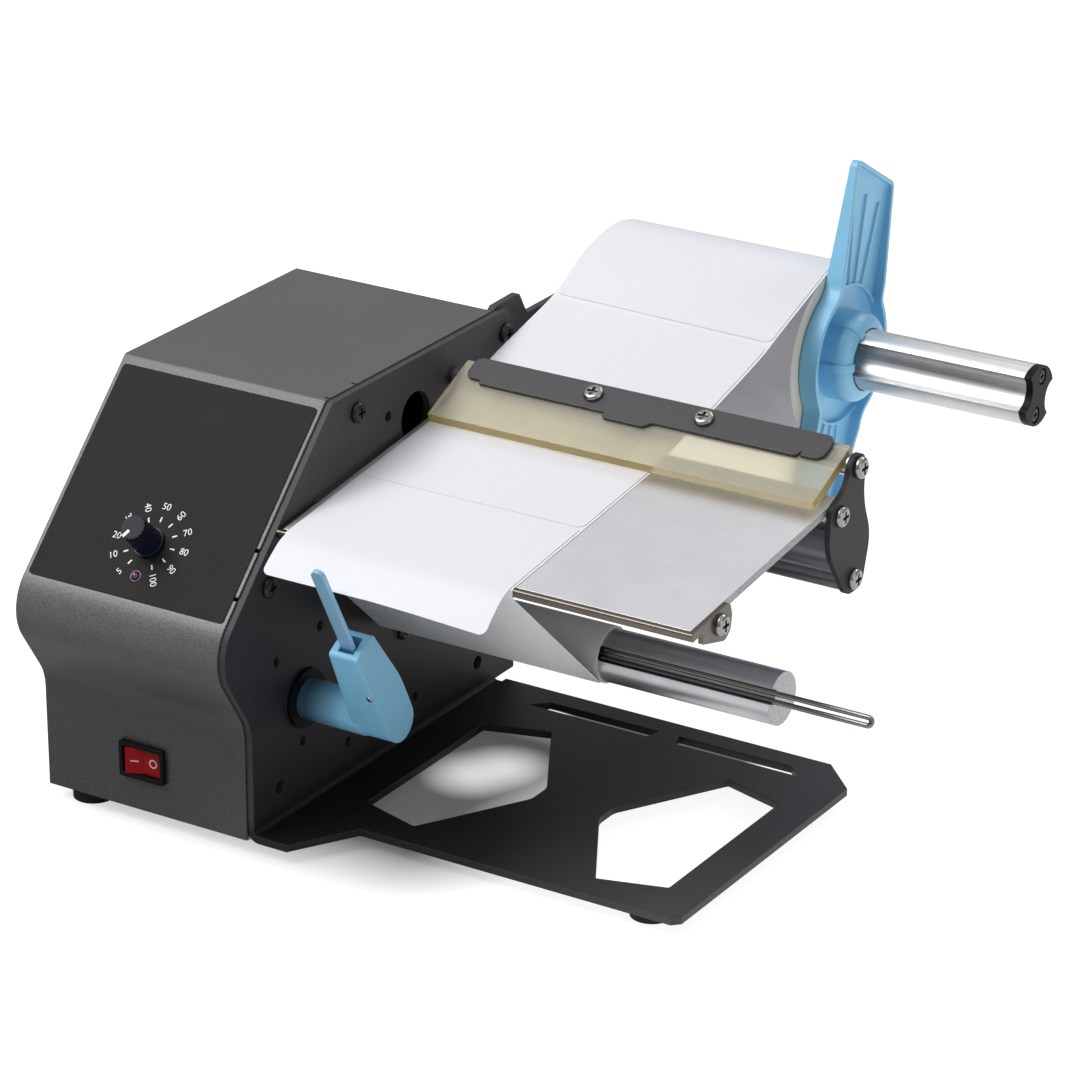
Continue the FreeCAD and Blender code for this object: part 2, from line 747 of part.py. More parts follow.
# ---- power ------------------------------------------------------------------------------------
flange_w = 48.0
flange_h = 22.0
inlet_rim_t = 2.5
inlet_screw_x = 20.0
socket_w = 24.0
socket_h = 16.4
socket_depth = 16.0
inlet_body = box(inlet_x - inlet_w / 2, inlet_x + inlet_w / 2, housing_d - 22, housing_d,
                 inlet_z - inlet_h / 2, inlet_z + inlet_h / 2)
flange_corners = [(inlet_x + sx * flange_w / 2, inlet_z + sz * flange_h / 2, 4)
                  for sx, sz in ((-1, -1), (1, -1), (1, 1), (-1, 1))]
inlet_face_y = housing_d + inlet_rim_t
inlet_rim = slab(outline(flange_corners, "xz"), housing_d, inlet_face_y)
blade_y = inlet_face_y - socket_depth
well = box(inlet_x - socket_w / 2, inlet_x + socket_w / 2, blade_y, housing_d + 5,
           inlet_z - socket_h / 2, inlet_z + socket_h / 2)
nodes["power_inlet"] = fuse(inlet_body, inlet_rim).cut(well)
blades = [(inlet_x - 7, inlet_z - 2), (inlet_x, inlet_z + 2), (inlet_x + 7, inlet_z - 2)]
nodes["inlet_blades"] = group(box(x - 1, x + 1, blade_y, blade_y + 12, z - 2, z + 2) for x, z in blades)
for name in ("rear_panel", "power_inlet"):
    for dx in (-inlet_screw_x, inlet_screw_x):
        hole = Part.makeCylinder(small_r, 20, V(inlet_x + dx, housing_d - 5, inlet_z), V(0, 1, 0))
        nodes[name] = nodes[name].cut(hole)

supply_x0 = -housing_w + 6.0
supply_y0 = housing_d - 53.0
supply_w = 46.0
supply_d = 34.0
post_h = 6.0
tray_top = floor_z + sheet_t
supply_posts = [(supply_x0 + dx, supply_y0 + dy) for dx in (4, supply_w - 4) for dy in (4, supply_d - 4)]
standoffs = [z_rod(tray_top, tray_top + post_h, x, y, 3) for x, y in supply_posts]
supply_top = tray_top + post_h + board_t
supply_board = box(supply_x0, supply_x0 + supply_w, supply_y0, supply_y0 + supply_d,
                   supply_top - board_t, supply_top)
supply_parts = [
    box(supply_x0 + 14, supply_x0 + 34, supply_y0 + 6, supply_y0 + 26, supply_top, supply_top + 18),
    z_rod(supply_top, supply_top + 16, supply_x0 + 40, supply_y0 + 26, 5),
    z_rod(supply_top, supply_top + 14, supply_x0 + 7, supply_y0 + 26, 4),
    box(supply_x0 + 2, supply_x0 + 10, supply_y0 + 4, supply_y0 + 18, supply_top, supply_top + 9),
]
nodes["power_supply"] = fuse(supply_board, *supply_parts)

# ---- rewind drive -----------------------------------------------------------------------------
gear_x1 = -wall_t - block_w - 2.0
gear_x0 = gear_x1 - gear_w
gear_gap = gear_module * (gear_teeth + pinion_teeth) / 2
motor_y = rewind_y - gear_gap
motor_z = rewind_z
block_half = 16.0
block = box(-wall_t - block_w, -wall_t, rewind_y - block_half, rewind_y + block_half,
            rewind_z - block_half, rewind_z + block_half)
block = block.cut(x_rod(-wall_t - block_w - 1, -wall_t - 2, rewind_y, rewind_z, bearing_r))
nodes["bearing_block"] = block.cut(x_rod(-50, 0, rewind_y, rewind_z, shaft_r + 1))
bearing_x = -wall_t - 2 - bearing_w
bracket_in = bracket_x + bracket_t
bracket_y0 = motor_y - 20.0
bracket_y1 = rewind_y + 28.0
bracket_top = rewind_z + 30.0
bracket_cut = 14.0      # cut off the bracket's rear top corner
bracket_face = slab(outline([
    (bracket_y0, tray_top), (bracket_y1, tray_top), (bracket_y1, bracket_top - bracket_cut, 4),
    (bracket_y1 - bracket_cut, bracket_top, 4), (bracket_y0 + 6, bracket_top, 6),
    (bracket_y0, bracket_top - 8, 4),
], "yz"), bracket_x, bracket_in)
bracket_foot = box(bracket_x - 16, bracket_x, bracket_y0, bracket_y1, tray_top, tray_top + bracket_t)
bracket = fuse(bracket_face, bracket_foot).cut(x_rod(-60, 0, rewind_y, rewind_z, shaft_r + 2))
nodes["gear_bracket"] = bracket.cut(x_rod(-60, 0, motor_y, motor_z, shaft_r + 2))
bush = fuse(x_rod(bracket_x, bracket_in, rewind_y, rewind_z, shaft_r + 2),
            x_rod(bracket_x - 1.5, bracket_x, rewind_y, rewind_z, shaft_r + 4))
bearing = x_rod(bearing_x, bearing_x + bearing_w, rewind_y, rewind_z, bearing_r)
running_bore = x_rod(-60, 0, rewind_y, rewind_z, shaft_r + slip)
nodes["shaft_bearings"] = group(piece.cut(running_bore) for piece in (bush, bearing))
standoffs.append(x_rod(bracket_in, -wall_t, *standoff_yz, standoff_r).cut(
    x_rod(-side_screw_len, -wall_t, *standoff_yz, standoff_screw_r)))
nodes["standoffs"] = group(standoffs)
bracket_bolts = [(bracket_x - 8, y) for y in (bracket_y0 + 8, bracket_y1 - 8)]
for name in ("gear_bracket", "floor_tray"):
    for x, y in bracket_bolts:
        nodes[name] = nodes[name].cut(z_rod(0, 20, x, y, small_r))


def case_screw(point, outward):
    return screw_at(point, outward, small_len, small_pan_r, small_pan_h, small_r)


back, up = (0, 1, 0), (0, 0, 1)
nodes["case_screws"] = group(
    [case_screw((x, housing_d, z), back) for x, z in rear_screw_at]
    + [case_screw((inlet_x + dx, inlet_face_y, inlet_z), back) for dx in (-inlet_screw_x, inlet_screw_x)]
    + [case_screw((x, y, tray_top + bracket_t), up) for x, y in bracket_bolts])

gearbox_back = bracket_x - gearbox_len
motor_back = gearbox_back - motor_len
gearbox = x_rod(gearbox_back, bracket_x, motor_y, motor_z, gearbox_r).cut(
    x_rod(gearbox_back + 4, 0, motor_y, motor_z, 3 + slip))
nodes["gear_motor"] = fuse(gearbox, x_rod(motor_back, gearbox_back, motor_y, motor_z, motor_r),
                           x_rod(motor_back - 3, motor_back, motor_y, motor_z, 6))
nodes["motor_output_shaft"] = x_rod(gearbox_back + 5, gear_x1, motor_y, motor_z, 3)
nodes["drive_pinion"] = gear(pinion_teeth, gear_x0, gear_x1, motor_y, motor_z, 0, 3)
nodes["rewind_gear"] = gear(gear_teeth, gear_x0, gear_x1, rewind_y, rewind_z, 180.0 / gear_teeth, shaft_r)
rod_x0 = rewind_gap
shaft_in_rod = 40.0
nodes["rewind_shaft"] = x_rod(bracket_x - 4, rod_x0 + shaft_in_rod, rewind_y, rewind_z, shaft_r)


def at_rewind(shape):
    """Carries a piece drawn with the groove pointing to +Y to its place on the rewind rod."""
    return tilted(shape, 180.0 - groove_dir, rewind_y, rewind_z)


groove = box(clip_start_x - 4, rewind_end_x + 1, rewind_r - groove_depth, rewind_r + 5,
             -groove_w / 2, groove_w / 2)
rod = x_rod(rod_x0, rewind_end_x, rewind_y, rewind_z, rewind_r)
rod = rod.cut(x_rod(rod_x0 - 1, rod_x0 + shaft_in_rod, rewind_y, rewind_z, shaft_r))
nodes["rewind_rod"] = rod.cut(at_rewind(groove))


def make_clip():
    """Hairpin of spring wire: two straight legs in the groove, joined by a round bend outside it."""
    depth = rewind_r - groove_depth + clip_wire_r + 0.4
    half = clip_pitch / 2
    bend_x = clip_end_x - clip_wire_r - half
    legs = [x_rod(clip_start_x, bend_x, depth, side * half, clip_wire_r) for side in (-1, 1)]
    loop = Part.makeTorus(half, clip_wire_r, V(bend_x, depth, 0), V(0, 1, 0))
    loop = loop.common(box(bend_x, bend_x + 20, depth - 5, depth + 5, -10, 10))
    return at_rewind(fuse(legs[0], legs[1], loop))


nodes["retaining_clip"] = make_clip()

# ---- peel plate, strip, beam and end plate ----------------------------------------------------
plate = box(plate_left, plate_right, 0.4, plate_len, -plate_t, 0)
bosses = [x_rod(plate_left, plate_right, along, -boss_drop, boss_r) for along in (boss_front, boss_rear)]
plate = fuse(plate, *bosses)
for along in (boss_front, boss_rear):
    plate = plate.cut(x_rod(-1, plate_right + 1, along, -boss_drop, screw_r))
nodes["peel_plate"] = tilted(plate, plate_tilt, plate_y, plate_z)


def make_peel_strip():
    nose = outline([(-strip_t, 0.0, nose_r), (0.3, 0.0), (0.3, -strip_h), (-strip_t, -strip_h, nose_r)], "yz")
    bar = slab(nose, plate_left - ear_t, plate_right + ear_t)
    ear = outline([(-strip_t, 0.0, nose_r), (25.6, 0.0, 3), (26.6, -6.0, 3), (25.0, -11.5, 4),
                   (20.5, -14.0, 3.5), (5.0, -7.6, 1), (5.4, -strip_h), (-strip_t, -strip_h, nose_r)], "yz")
    ears = [slab(ear, plate_right, plate_right + ear_t), slab(ear, plate_left - ear_t, plate_left)]
    strip = fuse(bar, *ears).cut(x_rod(-5, plate_right + 9, boss_front, -boss_drop, screw_r))
    return tilted(strip, plate_tilt, plate_y, plate_z)


nodes["peel_strip"] = make_peel_strip()
front_boss = plate_point(boss_front, -boss_drop)
rear_boss = plate_point(boss_rear, -boss_drop)

beam = fuse(x_rod(0, plate_right, beam_y, beam_z, beam_r),
            x_rod(0, plate_right, beam_lobe_y, beam_lobe_z, beam_lobe_r))
beam = beam.cut(x_rod(-1, plate_right + 1, beam_y, beam_z, beam_r - beam_wall))
nodes["cross_beam"] = beam.cut(x_rod(-1, plate_right + 1, beam_lobe_y, beam_lobe_z, screw_r))

end_x1 = plate_right + end_plate_t
end_face = outline([
    (pivot_y - 5.9, pivot_z + 5.6, 6.3), (pivot_y + 7.3, pivot_z + 5.2, 6.3), (146.4, 139.0, 30),
    (153.6, 121.0, 18), (beam_lobe_y + 7.0, beam_lobe_z - 5.5, 5.5),
    (beam_lobe_y - 5.0, beam_lobe_z - 5.5, 7), (120.6, 123.6, 20), (121.8, 141.0, 5),
    (pivot_y - 8.1, pivot_z - 5.5, 12),
], "yz")
end_plate = slab(end_face, plate_right, end_x1)
end_plate = end_plate.cut(x_rod(0, end_x1 + 1, pivot_y, pivot_z, journal_r + slip))
for y, z in (rear_boss, (beam_lobe_y, beam_lobe_z)):
    end_plate = end_plate.cut(x_rod(0, end_x1 + 1, y, z, screw_r))
nodes["end_plate"] = end_plate
rail_end_screws = [(plate_right + ear_t, *front_boss), (end_x1, *rear_boss),
                   (end_x1, beam_lobe_y, beam_lobe_z)]
nodes["end_plate_screws"] = group(screw_at(at, (1, 0, 0), 12) for at in rail_end_screws)

# ---- press flap -------------------------------------------------------------------------------
journal_x0 = -wall_t - 2.0
shaft_x0 = 1.2
shaft_x1 = plate_right - 0.4
pivot = fuse(x_rod(shaft_x0, shaft_x1, 0, 0, pivot_r), x_rod(journal_x0, end_x1 + 0.3, 0, 0, journal_r))
pivot = pivot.cut(box(flap_left - 0.5, flap_right + 0.5, -9, 9, flap_seat, 9))
for x in bar_screw_x:
    pivot = pivot.cut(z_rod(-2.4, 9, x, 0, screw_r))
pivot = pivot.cut(x_rod(end_x1 - 9.7, end_x1 + 2, 0, 0, 1.5))


def at_pivot(shape):
    """Carries a piece drawn about the flap's pivot, flap level and pointing to -Y, to its rest."""
    return tilted(shape, flap_tilt, pivot_y, pivot_z)


nodes["flap_shaft"] = at_pivot(pivot)
nodes["shaft_clip"] = x_rod(journal_x0, -wall_t - 0.2, pivot_y, pivot_z, 4.4).cut(
    x_rod(-20, 0, pivot_y, pivot_z, journal_r))
pad = box(flap_left, flap_right, -flap_front, flap_back, flap_seat, flap_seat + flap_t)
bar_z = flap_seat + flap_t
bar_face = outline([
    (bar_left, -bar_front + 3, 3.5), (bar_left + 3.0, -bar_front + 2.0, 1),
    (bar_left + 7.5, -bar_front + 2.0), (bar_left + 7.5, -bar_front, 1), (bar_tongue_x0, -bar_front),
    (bar_tongue_x0, -bar_front - bar_tongue, 1.5), (bar_tongue_x1 - bar_tongue, -bar_front - bar_tongue, 3),
    (bar_tongue_x1, -bar_front, 3), (bar_right - 10.2, -bar_front, 2.5),
    (bar_right - 9.8, -bar_front + 3.2), (bar_right - 9.2, -bar_front + 0.6),
    (bar_right, -bar_front + 0.6, 4), (bar_right, bar_back, 3.5), (bar_left, bar_back, 3.5),
], "xy")
bar = slab(bar_face, bar_z, bar_z + bar_t)
for x in bar_screw_x:
    pad = pad.cut(z_rod(-9, 19, x, 0, screw_r))
    bar = bar.cut(z_rod(-9, 19, x, 0, screw_r))
nodes["press_flap"] = at_pivot(pad)
nodes["flap_bar"] = at_pivot(bar)
bar_screw_len = bar_z + bar_t + 2.0
bar_screw = pan_screw(bar_screw_len, 4.1, 2.2)
flap_screws = [at_pivot(bar_screw.copy().translate(V(x, 0, bar_z + bar_t))) for x in bar_screw_x]
flap_screws.append(screw_at((end_x1 + 0.3, pivot_y, pivot_z), (1, 0, 0), 10.0, 4.4, 2.4, 1.5))
nodes["flap_screws"] = group(flap_screws)

# ---- label sensor arm -------------------------------------------------------------------------
flange_t = 2.0
bush_x0 = -wall_t - 4.0
sleeve_r = bush_r - 2.0
sleeve = fuse(x_rod(0, flange_t, sensor_y, sensor_z, bush_r), x_rod(bush_x0, 0, sensor_y, sensor_z, sleeve_r))
nodes["sensor_bush"] = sleeve.cut(x_rod(-20, 20, sensor_y, sensor_z, tube_r + slip))
bush_nut = x_rod(bush_x0, -wall_t, sensor_y, sensor_z, bush_r + 2).cut(
    x_rod(-20, 20, sensor_y, sensor_z, sleeve_r))
nodes["wall_nuts"] = group([*nodes["wall_nuts"].Solids, bush_nut])


def at_sensor(shape):
    """Carries a piece drawn about the sensor tube, holder upright, to its forward lean."""
    return tilted(shape, holder_lean, sensor_y, sensor_z)


def make_sensor_arm():
    tube = x_rod(-14, holder_x0 + 3, 0, 0, tube_r)
    side_view = outline([(-tube_r, -tube_r, tube_r - 0.1), (tube_r, -tube_r, tube_r - 0.1),
                         (tube_r + holder_swell, holder_swell_u, 50),
                         (tube_r, holder_len, 1.5), (-holder_front, holder_len, 1.5)], "yz")
    front_view = outline([(holder_x0, -12), (holder_x1, -12), (holder_x1, 4, 12),
                          (holder_top_x1, holder_len + 2), (holder_top_x0, holder_len + 2),
                          (holder_x0, 4, 12)], "xz")
    front_block = front_view.extrude(V(0, 60, 0)).translate(V(0, -30, 0))
    head = slab(side_view, holder_x0, holder_x1).common(front_block)
    arm = fuse(tube, head).cut(box(pocket_x0, pocket_x1, pocket_v0, pocket_v1, pocket_floor, 90))
    arm = arm.cut(box(pocket_x0, pocket_x1, pocket_v0 - pocket_undercut, pocket_v1,
                      pocket_floor, holder_len - pocket_lip))
    arm = arm.cut(x_rod(pocket_x0 - 1.5, pocket_x1 + 1.5, pin_v, pin_u, pin_r))
    return at_sensor(arm.cut(x_rod(-20, holder_x0 + 6, 0, 0, 3.5)))


nodes["sensor_arm"] = make_sensor_arm()
nodes["arm_collar"] = x_rod(bush_x0 - 4.5, bush_x0 - 0.3, sensor_y, sensor_z, tube_r + 3).cut(
    x_rod(-30, 0, sensor_y, sensor_z, tube_r))
finger_x0 = (pocket_x0 + pocket_x1 - finger_w) / 2
finger_x1 = finger_x0 + finger_w
tip_round = finger_w / 2 - 0.01
blade = outline([(finger_x0, -2), (finger_x1, -2), (finger_x1, finger_len, tip_round),
                 (finger_x0, finger_len, tip_round)], "xz")
finger = fuse(blade.extrude(V(0, finger_t, 0)).translate(V(0, -finger_t / 2, 0)),
              x_rod(finger_x0, finger_x1, 0, 0, pin_r + 1.2))
finger = finger.cut(x_rod(0, 90, 0, 0, pin_r + slip))
nodes["trigger_finger"] = at_sensor(tilted(finger, -finger_back, pin_v, pin_u))
finger_pin = at_sensor(x_rod(pocket_x0 - 1.5, pocket_x1 + 1.5, pin_v, pin_u, pin_r))
nodes["micro_switch"] = at_sensor(
    box(pocket_x0, pocket_x1, pocket_v0, pocket_v1 - loose, pocket_floor, pocket_floor + 4.6))
holder_screw_u = 22.0
screw_v = -tube_r + (tube_r - holder_front) * holder_screw_u / holder_len
holder_screw = at_sensor(screw_at((41.6, screw_v + 0.5, holder_screw_u), (0, -1, 0.08), 2.2, 1.3, 0.7, 0.7))
nodes["sensor_arm"] = nodes["sensor_arm"].cut(holder_screw)
nodes["holder_pins"] = group([finger_pin, holder_screw])

# ---- supply arm, spindle, roll ----------------------------------------------------------------
arm_top_z = spindle_z + arm_end_r
arm_rear_y = spindle_y + arm_end_r
arm_face = outline([
    (arm_front_y, arm_low_z, 3), (arm_rear_y, spindle_z - arm_end_r, arm_end_r - 0.1),
    (arm_rear_y, arm_top_z, arm_end_r - 0.1), (horn_rear_y + 6, arm_top_z, 3), (horn_rear_y, horn_top_z, 2),
    (horn_front_y + 1.5, horn_top_z - 0.4, 1), (horn_front_y, horn_top_z - 1.6), (horn_front_y, arm_top_z),
    (arm_front_y, arm_top_z, 3),
], "yz")
channel_y = channel * math.sin(math.radians(spindle_tilt))
channel_z = channel * math.cos(math.radians(spindle_tilt))
channels = [(spindle_y + s * channel_y, spindle_z + s * channel_z) for s in (-1, 1)]
arm = slab(arm_face, -wall_t - arm_t, -wall_t)
for y, z in channels + arm_screws:
    arm = arm.cut(x_rod(-20, 0, y, z, screw_r))
nodes["supply_arm"] = arm


def at_spindle(shape):
    return tilted(shape, -spindle_tilt, spindle_y, spindle_z)


spindle = slab(fluted(0), -wall_t, spindle_end_x)
for side in (-1, 1):
    spindle = spindle.cut(x_rod(-20, 300, 0, side * channel, screw_r))
nodes["supply_spindle"] = at_spindle(spindle)
cap = slab(fluted(0), spindle_end_x, spindle_end_x + cap_t)
for side in (-1, 1):
    cap = cap.cut(x_rod(0, 300, 0, side * channel, screw_r))
    cap = cap.cut(x_rod(spindle_end_x + cap_t - 1.6, 300, 0, side * channel, 3.4))
nodes["spindle_cap"] = at_spindle(cap)
cap_seat = spindle_end_x + cap_t - 1.6
nodes["cap_screws"] = group(screw_at((cap_seat, y, z), (1, 0, 0), 9, 3.1, 1.5) for y, z in channels)
inner_screws = [(-wall_t, y, z) for y, z in rail_screws()] + [(-wall_t - arm_t, y, z) for y, z in channels]
nodes["inner_screws"] = group(screw_at(at, (-1, 0, 0), 13, hidden_pan_r, hidden_pan_h) for at in inner_screws)

roll_y = spindle_y
roll_z = spindle_z + spindle_r + slip - core_bore_r
web_x1 = web_x0 + web_w
for name, outer_r, inner_r in (("roll_core", core_r, core_bore_r), ("label_roll", roll_r, core_r)):
    nodes[name] = x_rod(web_x0, web_x1, roll_y, roll_z, outer_r).cut(x_rod(0, 200, roll_y, roll_z, inner_r))


# ---- label web: liner off the roll, over the plate, round the strip and down to the rewind rod 
def tangent(y, z, cy, cz, r, side):
    """Touching point of the line from (y, z) to a circle, on the chosen side of it."""
    away = math.atan2(z - cz, y - cy)
    turn = math.acos(r / math.hypot(y - cy, z - cz))
    a = away + side * turn
    return (cy + r * math.cos(a), cz + r * math.sin(a))


web_lift = 0.1
web_r = roll_r + loose
rear_edge = plate_point(plate_len, web_lift)
crest = tangent(crest_y, crest_z, roll_y, roll_z, web_r, -1)
nose_top = plate_point(-strip_t - web_lift, web_lift)
nose_low = plate_point(-strip_t - web_lift, -strip_h - web_lift)
wrap_r = rewind_r + wrap_t
rod_touch = tangent(nose_low[0], nose_low[1], rewind_y, rewind_z, wrap_r + loose + liner_t, 1)
crest_turn = math.atan2(crest[1] - roll_z, crest[0] - roll_y)
tail_turn = crest_turn - math.radians(cling)
tail = (roll_y + web_r * math.cos(tail_turn), roll_z + web_r * math.sin(tail_turn))
shoulder_r = web_r / math.cos(math.radians(cling / 2))
shoulder_turn = (crest_turn + tail_turn) / 2
shoulder = (roll_y + shoulder_r * math.cos(shoulder_turn), roll_z + shoulder_r * math.sin(shoulder_turn),
            web_r)
nose_bend = nose_r + web_lift
run = [(sag_y, sag_z, 6), (crest_y, crest_z, 25), shoulder, tail]
path = [*run[::-1], (*rear_edge, 6), (*nose_top, nose_bend), (*nose_low, nose_bend), rod_touch]
nodes["backing_liner"] = slab(ribbon(path, -liner_t), web_x0, web_x1)
web_top = beside([nose_top, (*rear_edge, 6), *run], liner_t)


def on_web(start, stop):
    """The web's upper face between two distances behind the nose, bends included."""
    line = []
    passed = 0.0
    for a, b in zip(web_top, web_top[1:]):
        leg = V(0, b[0] - a[0], b[1] - a[1])
        for distance in (start, stop):
            if passed <= distance < passed + leg.Length or (distance < 0 and passed == 0):
                t = (distance - passed) / leg.Length
                line.append((a[0] + leg.y * t, a[1] + leg.z * t))
        passed += leg.Length
        if start < passed < stop:
            line.append(b)
    return line


label_x0 = web_x0 + label_margin
label_x1 = web_x1 - label_margin
gap = label_pitch - label_len
labels = []
for k in range(3):
    start = first_label_on + gap + k * label_pitch
    stop = start + label_len if k < 2 else 1000.0
    labels.append(slab(ribbon(on_web(start, stop), label_t), label_x0, label_x1))
nodes["web_labels"] = group(labels)

lead = on_web(-2.5, first_label_on)
tip = (label_tip_y, plate_z - label_tip_drop)
knee = (plate_y - 8.0, plate_z - 1.9, 26)
peeled = ribbon([tip, knee, (lead[0][0], lead[0][1], 8), lead[1]], label_t)
label = slab(peeled, label_x0, label_x1)
nodes["leading_label"] = label
nodes["rewound_liner"] = x_rod(web_x0, web_x1, rewind_y, rewind_z, wrap_r).cut(
    x_rod(0, 200, rewind_y, rewind_z, rewind_r))


# ---- width guide ------------------------------------------------------------------------------
def hollow_round(side, radius):
    """Fills the corner between a paddle's straight side and the disc, up to a hollow round."""
    outward = math.copysign(1, side)
    middle = V(0, side + outward * radius, math.sqrt((wing_disc_r + radius) ** 2 - (abs(side) + radius) ** 2))
    on_side = V(0, side, middle.z)
    on_disc = middle * (wing_disc_r / (wing_disc_r + radius))
    bulge = middle + ((on_side + on_disc) * 0.5 - middle).normalize() * radius
    inside = V(0, side - outward * wing_rim, middle.z / 2)
    return Part.Face(Part.Wire([Part.Arc(on_side, bulge, on_disc).toShape(),
                                Part.LineSegment(on_disc, inside).toShape(),
                                Part.LineSegment(inside, on_side).toShape()]))


def wing_block(root_x, tip_x):
    """Everything between x = 0 and a face at root_x over the disc that slopes to tip_x past the paddles."""
    reach = wing_long + 5
    side_view = outline([(0, -reach), (tip_x, -reach), (root_x, -wing_disc_r), (root_x, wing_disc_r),
                         (tip_x, reach), (0, reach)], "xz")
    return side_view.extrude(V(0, 100, 0)).translate(V(0, -50, 0))


def make_wing():
    """Two tapering paddles on a rimmed disc, with a domed hub keyed to the spindle's flutes."""
    paddle = outline([(-wing_lead_root, 0), (-wing_lead_root, wing_disc_r, 20),
                      (-wing_lead_tip, wing_long, 3), (wing_trail, wing_short, 3), (wing_trail, 0)], "yz")
    half = [paddle, hollow_round(-wing_lead_root, wing_lead_hollow),
            hollow_round(wing_trail, wing_trail_hollow)]
    half += [face.copy().rotate(V(0, 0, 0), V(1, 0, 0), 180) for face in half]
    blank = fuse(x_rod(0, 1, 0, 0, wing_disc_r), *[slab(face, 0, 1) for face in half])
    plan = [face for face in blank.Faces if face.BoundBox.XMax < 0.01][0]
    pocket = slab(plan.makeOffset2D(-wing_rim), 0, 20)
    pocket = pocket.cut(wing_block(wing_floor_root, wing_floor_tip))
    body = slab(plan, 0, 20).common(wing_block(wing_disc_t, wing_tip_t)).cut(pocket)
    relief = wing_block(wing_floor_root + wing_relief, wing_floor_tip + wing_relief)
    hollow_r = wing_disc_r - wing_rim
    ribs = []
    for root, tip, reach in wing_ribs:
        rib = outline([(root - 0.5, hollow_r), (root + 0.5, hollow_r),
                       (tip + 0.9, reach), (tip - 0.9, reach)], "yz")
        ribs.append(slab(rib, 0, 20).common(relief))
        ribs.append(ribs[-1].copy().rotate(V(0, 0, 0), V(1, 0, 0), 180))
    lip = x_rod(0, wing_floor_root + wing_relief, 0, 0, hollow_r + wing_lip_w)
    valley = x_rod(wing_disc_t - wing_valley, 20, 0, 0, hollow_r)
    hub_h = wing_hub_x - wing_x
    dome = x_rod(0, hub_h, 0, 0, wing_hub_r)
    dome = dome.makeFillet(wing_hub_round, [e for e in dome.Edges if abs(e.BoundBox.XMin - hub_h) < 0.01])
    bore = x_rod(-5, 40, 0, 0, wing_bore)
    keys = box(0, hub_h - 4, -wing_bore - 1, wing_bore + 1, -wing_key / 2, wing_key / 2).cut(
        x_rod(-5, 40, 0, 0, wing_bore - 3.2))
    solid = fuse(fuse(body, lip, *ribs).cut(valley), dome).cut(bore).fuse(keys)
    return at_spindle(solid.removeSplitter()).translate(V(wing_x, 0, 0))


nodes["width_guide"] = make_wing()

# ---- export -----------------------------------------------------------------------------------
everything = Part.makeCompound(list(nodes.values())).optimalBoundingBox(False)
home = V(-everything.Center.x, -everything.Center.y, -everything.ZMin)
os.makedirs("parts", exist_ok=True)
for name, shape in nodes.items():
    placed = shape.copy()
    placed.translate(home)
    placed.exportStep("parts/" + name + ".step")
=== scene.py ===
"""Looks of the label dispenser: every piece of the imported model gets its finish, in the order
in which the machine is put together, and the paper, the print and the moulded relief are
modelled on top of it.  Metres, +X along the rollers, +Y to the back, +Z up."""
import json
import math
import bmesh
import bpy
from mathutils import Matrix, Vector


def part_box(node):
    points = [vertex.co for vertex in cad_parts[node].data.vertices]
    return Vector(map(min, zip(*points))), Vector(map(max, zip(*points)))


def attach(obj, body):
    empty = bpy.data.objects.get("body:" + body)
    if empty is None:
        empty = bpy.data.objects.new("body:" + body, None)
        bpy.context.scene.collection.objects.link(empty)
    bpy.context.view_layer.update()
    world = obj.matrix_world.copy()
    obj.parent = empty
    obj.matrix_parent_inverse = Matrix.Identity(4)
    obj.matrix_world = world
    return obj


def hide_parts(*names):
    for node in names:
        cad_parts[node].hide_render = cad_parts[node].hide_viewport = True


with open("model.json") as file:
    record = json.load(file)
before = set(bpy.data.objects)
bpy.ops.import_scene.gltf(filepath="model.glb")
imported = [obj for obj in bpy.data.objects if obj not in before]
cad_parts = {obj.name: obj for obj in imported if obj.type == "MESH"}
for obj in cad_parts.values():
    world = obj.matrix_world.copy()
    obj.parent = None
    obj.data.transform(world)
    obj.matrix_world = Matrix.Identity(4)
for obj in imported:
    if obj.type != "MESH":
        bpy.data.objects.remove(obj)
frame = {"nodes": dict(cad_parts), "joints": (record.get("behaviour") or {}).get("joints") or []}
nodes = frame["nodes"]
joints = {joint["name"]: joint for joint in frame["joints"]}
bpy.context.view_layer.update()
mm = 0.001
roll_x, roll_y, roll_z = 55.0, 262.5, 143.95        # the roll's middle, mm from the datum
roll_axis = Vector(joints["roll_spin"]["pos_m"])
datum = roll_axis - Vector((roll_x, roll_y, roll_z)) * mm   # wall's face, housing's front, table top

# ---- Table, lights and camera ----------------------------------------------------------------
# A white studio table under a large soft box, with weaker boxes on the right and behind, and a
# small one aimed at the cover's slope.  None of this is part of the machine.
table_half = 4.0


def new_material(name, **constants):
    """A material with its Principled BSDF; constants are set on the shader's own sockets."""
    material = bpy.data.materials.new(name)
    material.use_nodes = True
    shader = material.node_tree.nodes["Principled BSDF"]
    for socket, value in constants.items():
        shader.inputs[socket.replace("_", " ")].default_value = value
    return material


def add_node(tree, kind, inputs=None, **settings):
    """Adds a node; inputs maps a socket to a constant or to the output that feeds it."""
    node = tree.nodes.new(kind)
    for name, value in settings.items():
        setattr(node, name, value)
    for socket, value in (inputs or {}).items():
        if isinstance(value, bpy.types.NodeSocket):
            tree.links.new(value, node.inputs[socket])
        else:
            node.inputs[socket].default_value = value
    return node


def spread(tree, value, low, high, start=0.3, stop=0.7, **settings):
    """A value between start and stop, spread from low to high."""
    return add_node(tree, "ShaderNodeMapRange", {"Value": value, "From Min": start, "From Max": stop,
                                                 "To Min": low, "To Max": high}, **settings).outputs[0]


def maths(tree, operation, first, second=0.5):
    return add_node(tree, "ShaderNodeMath", {0: first, 1: second}, operation=operation).outputs[0]


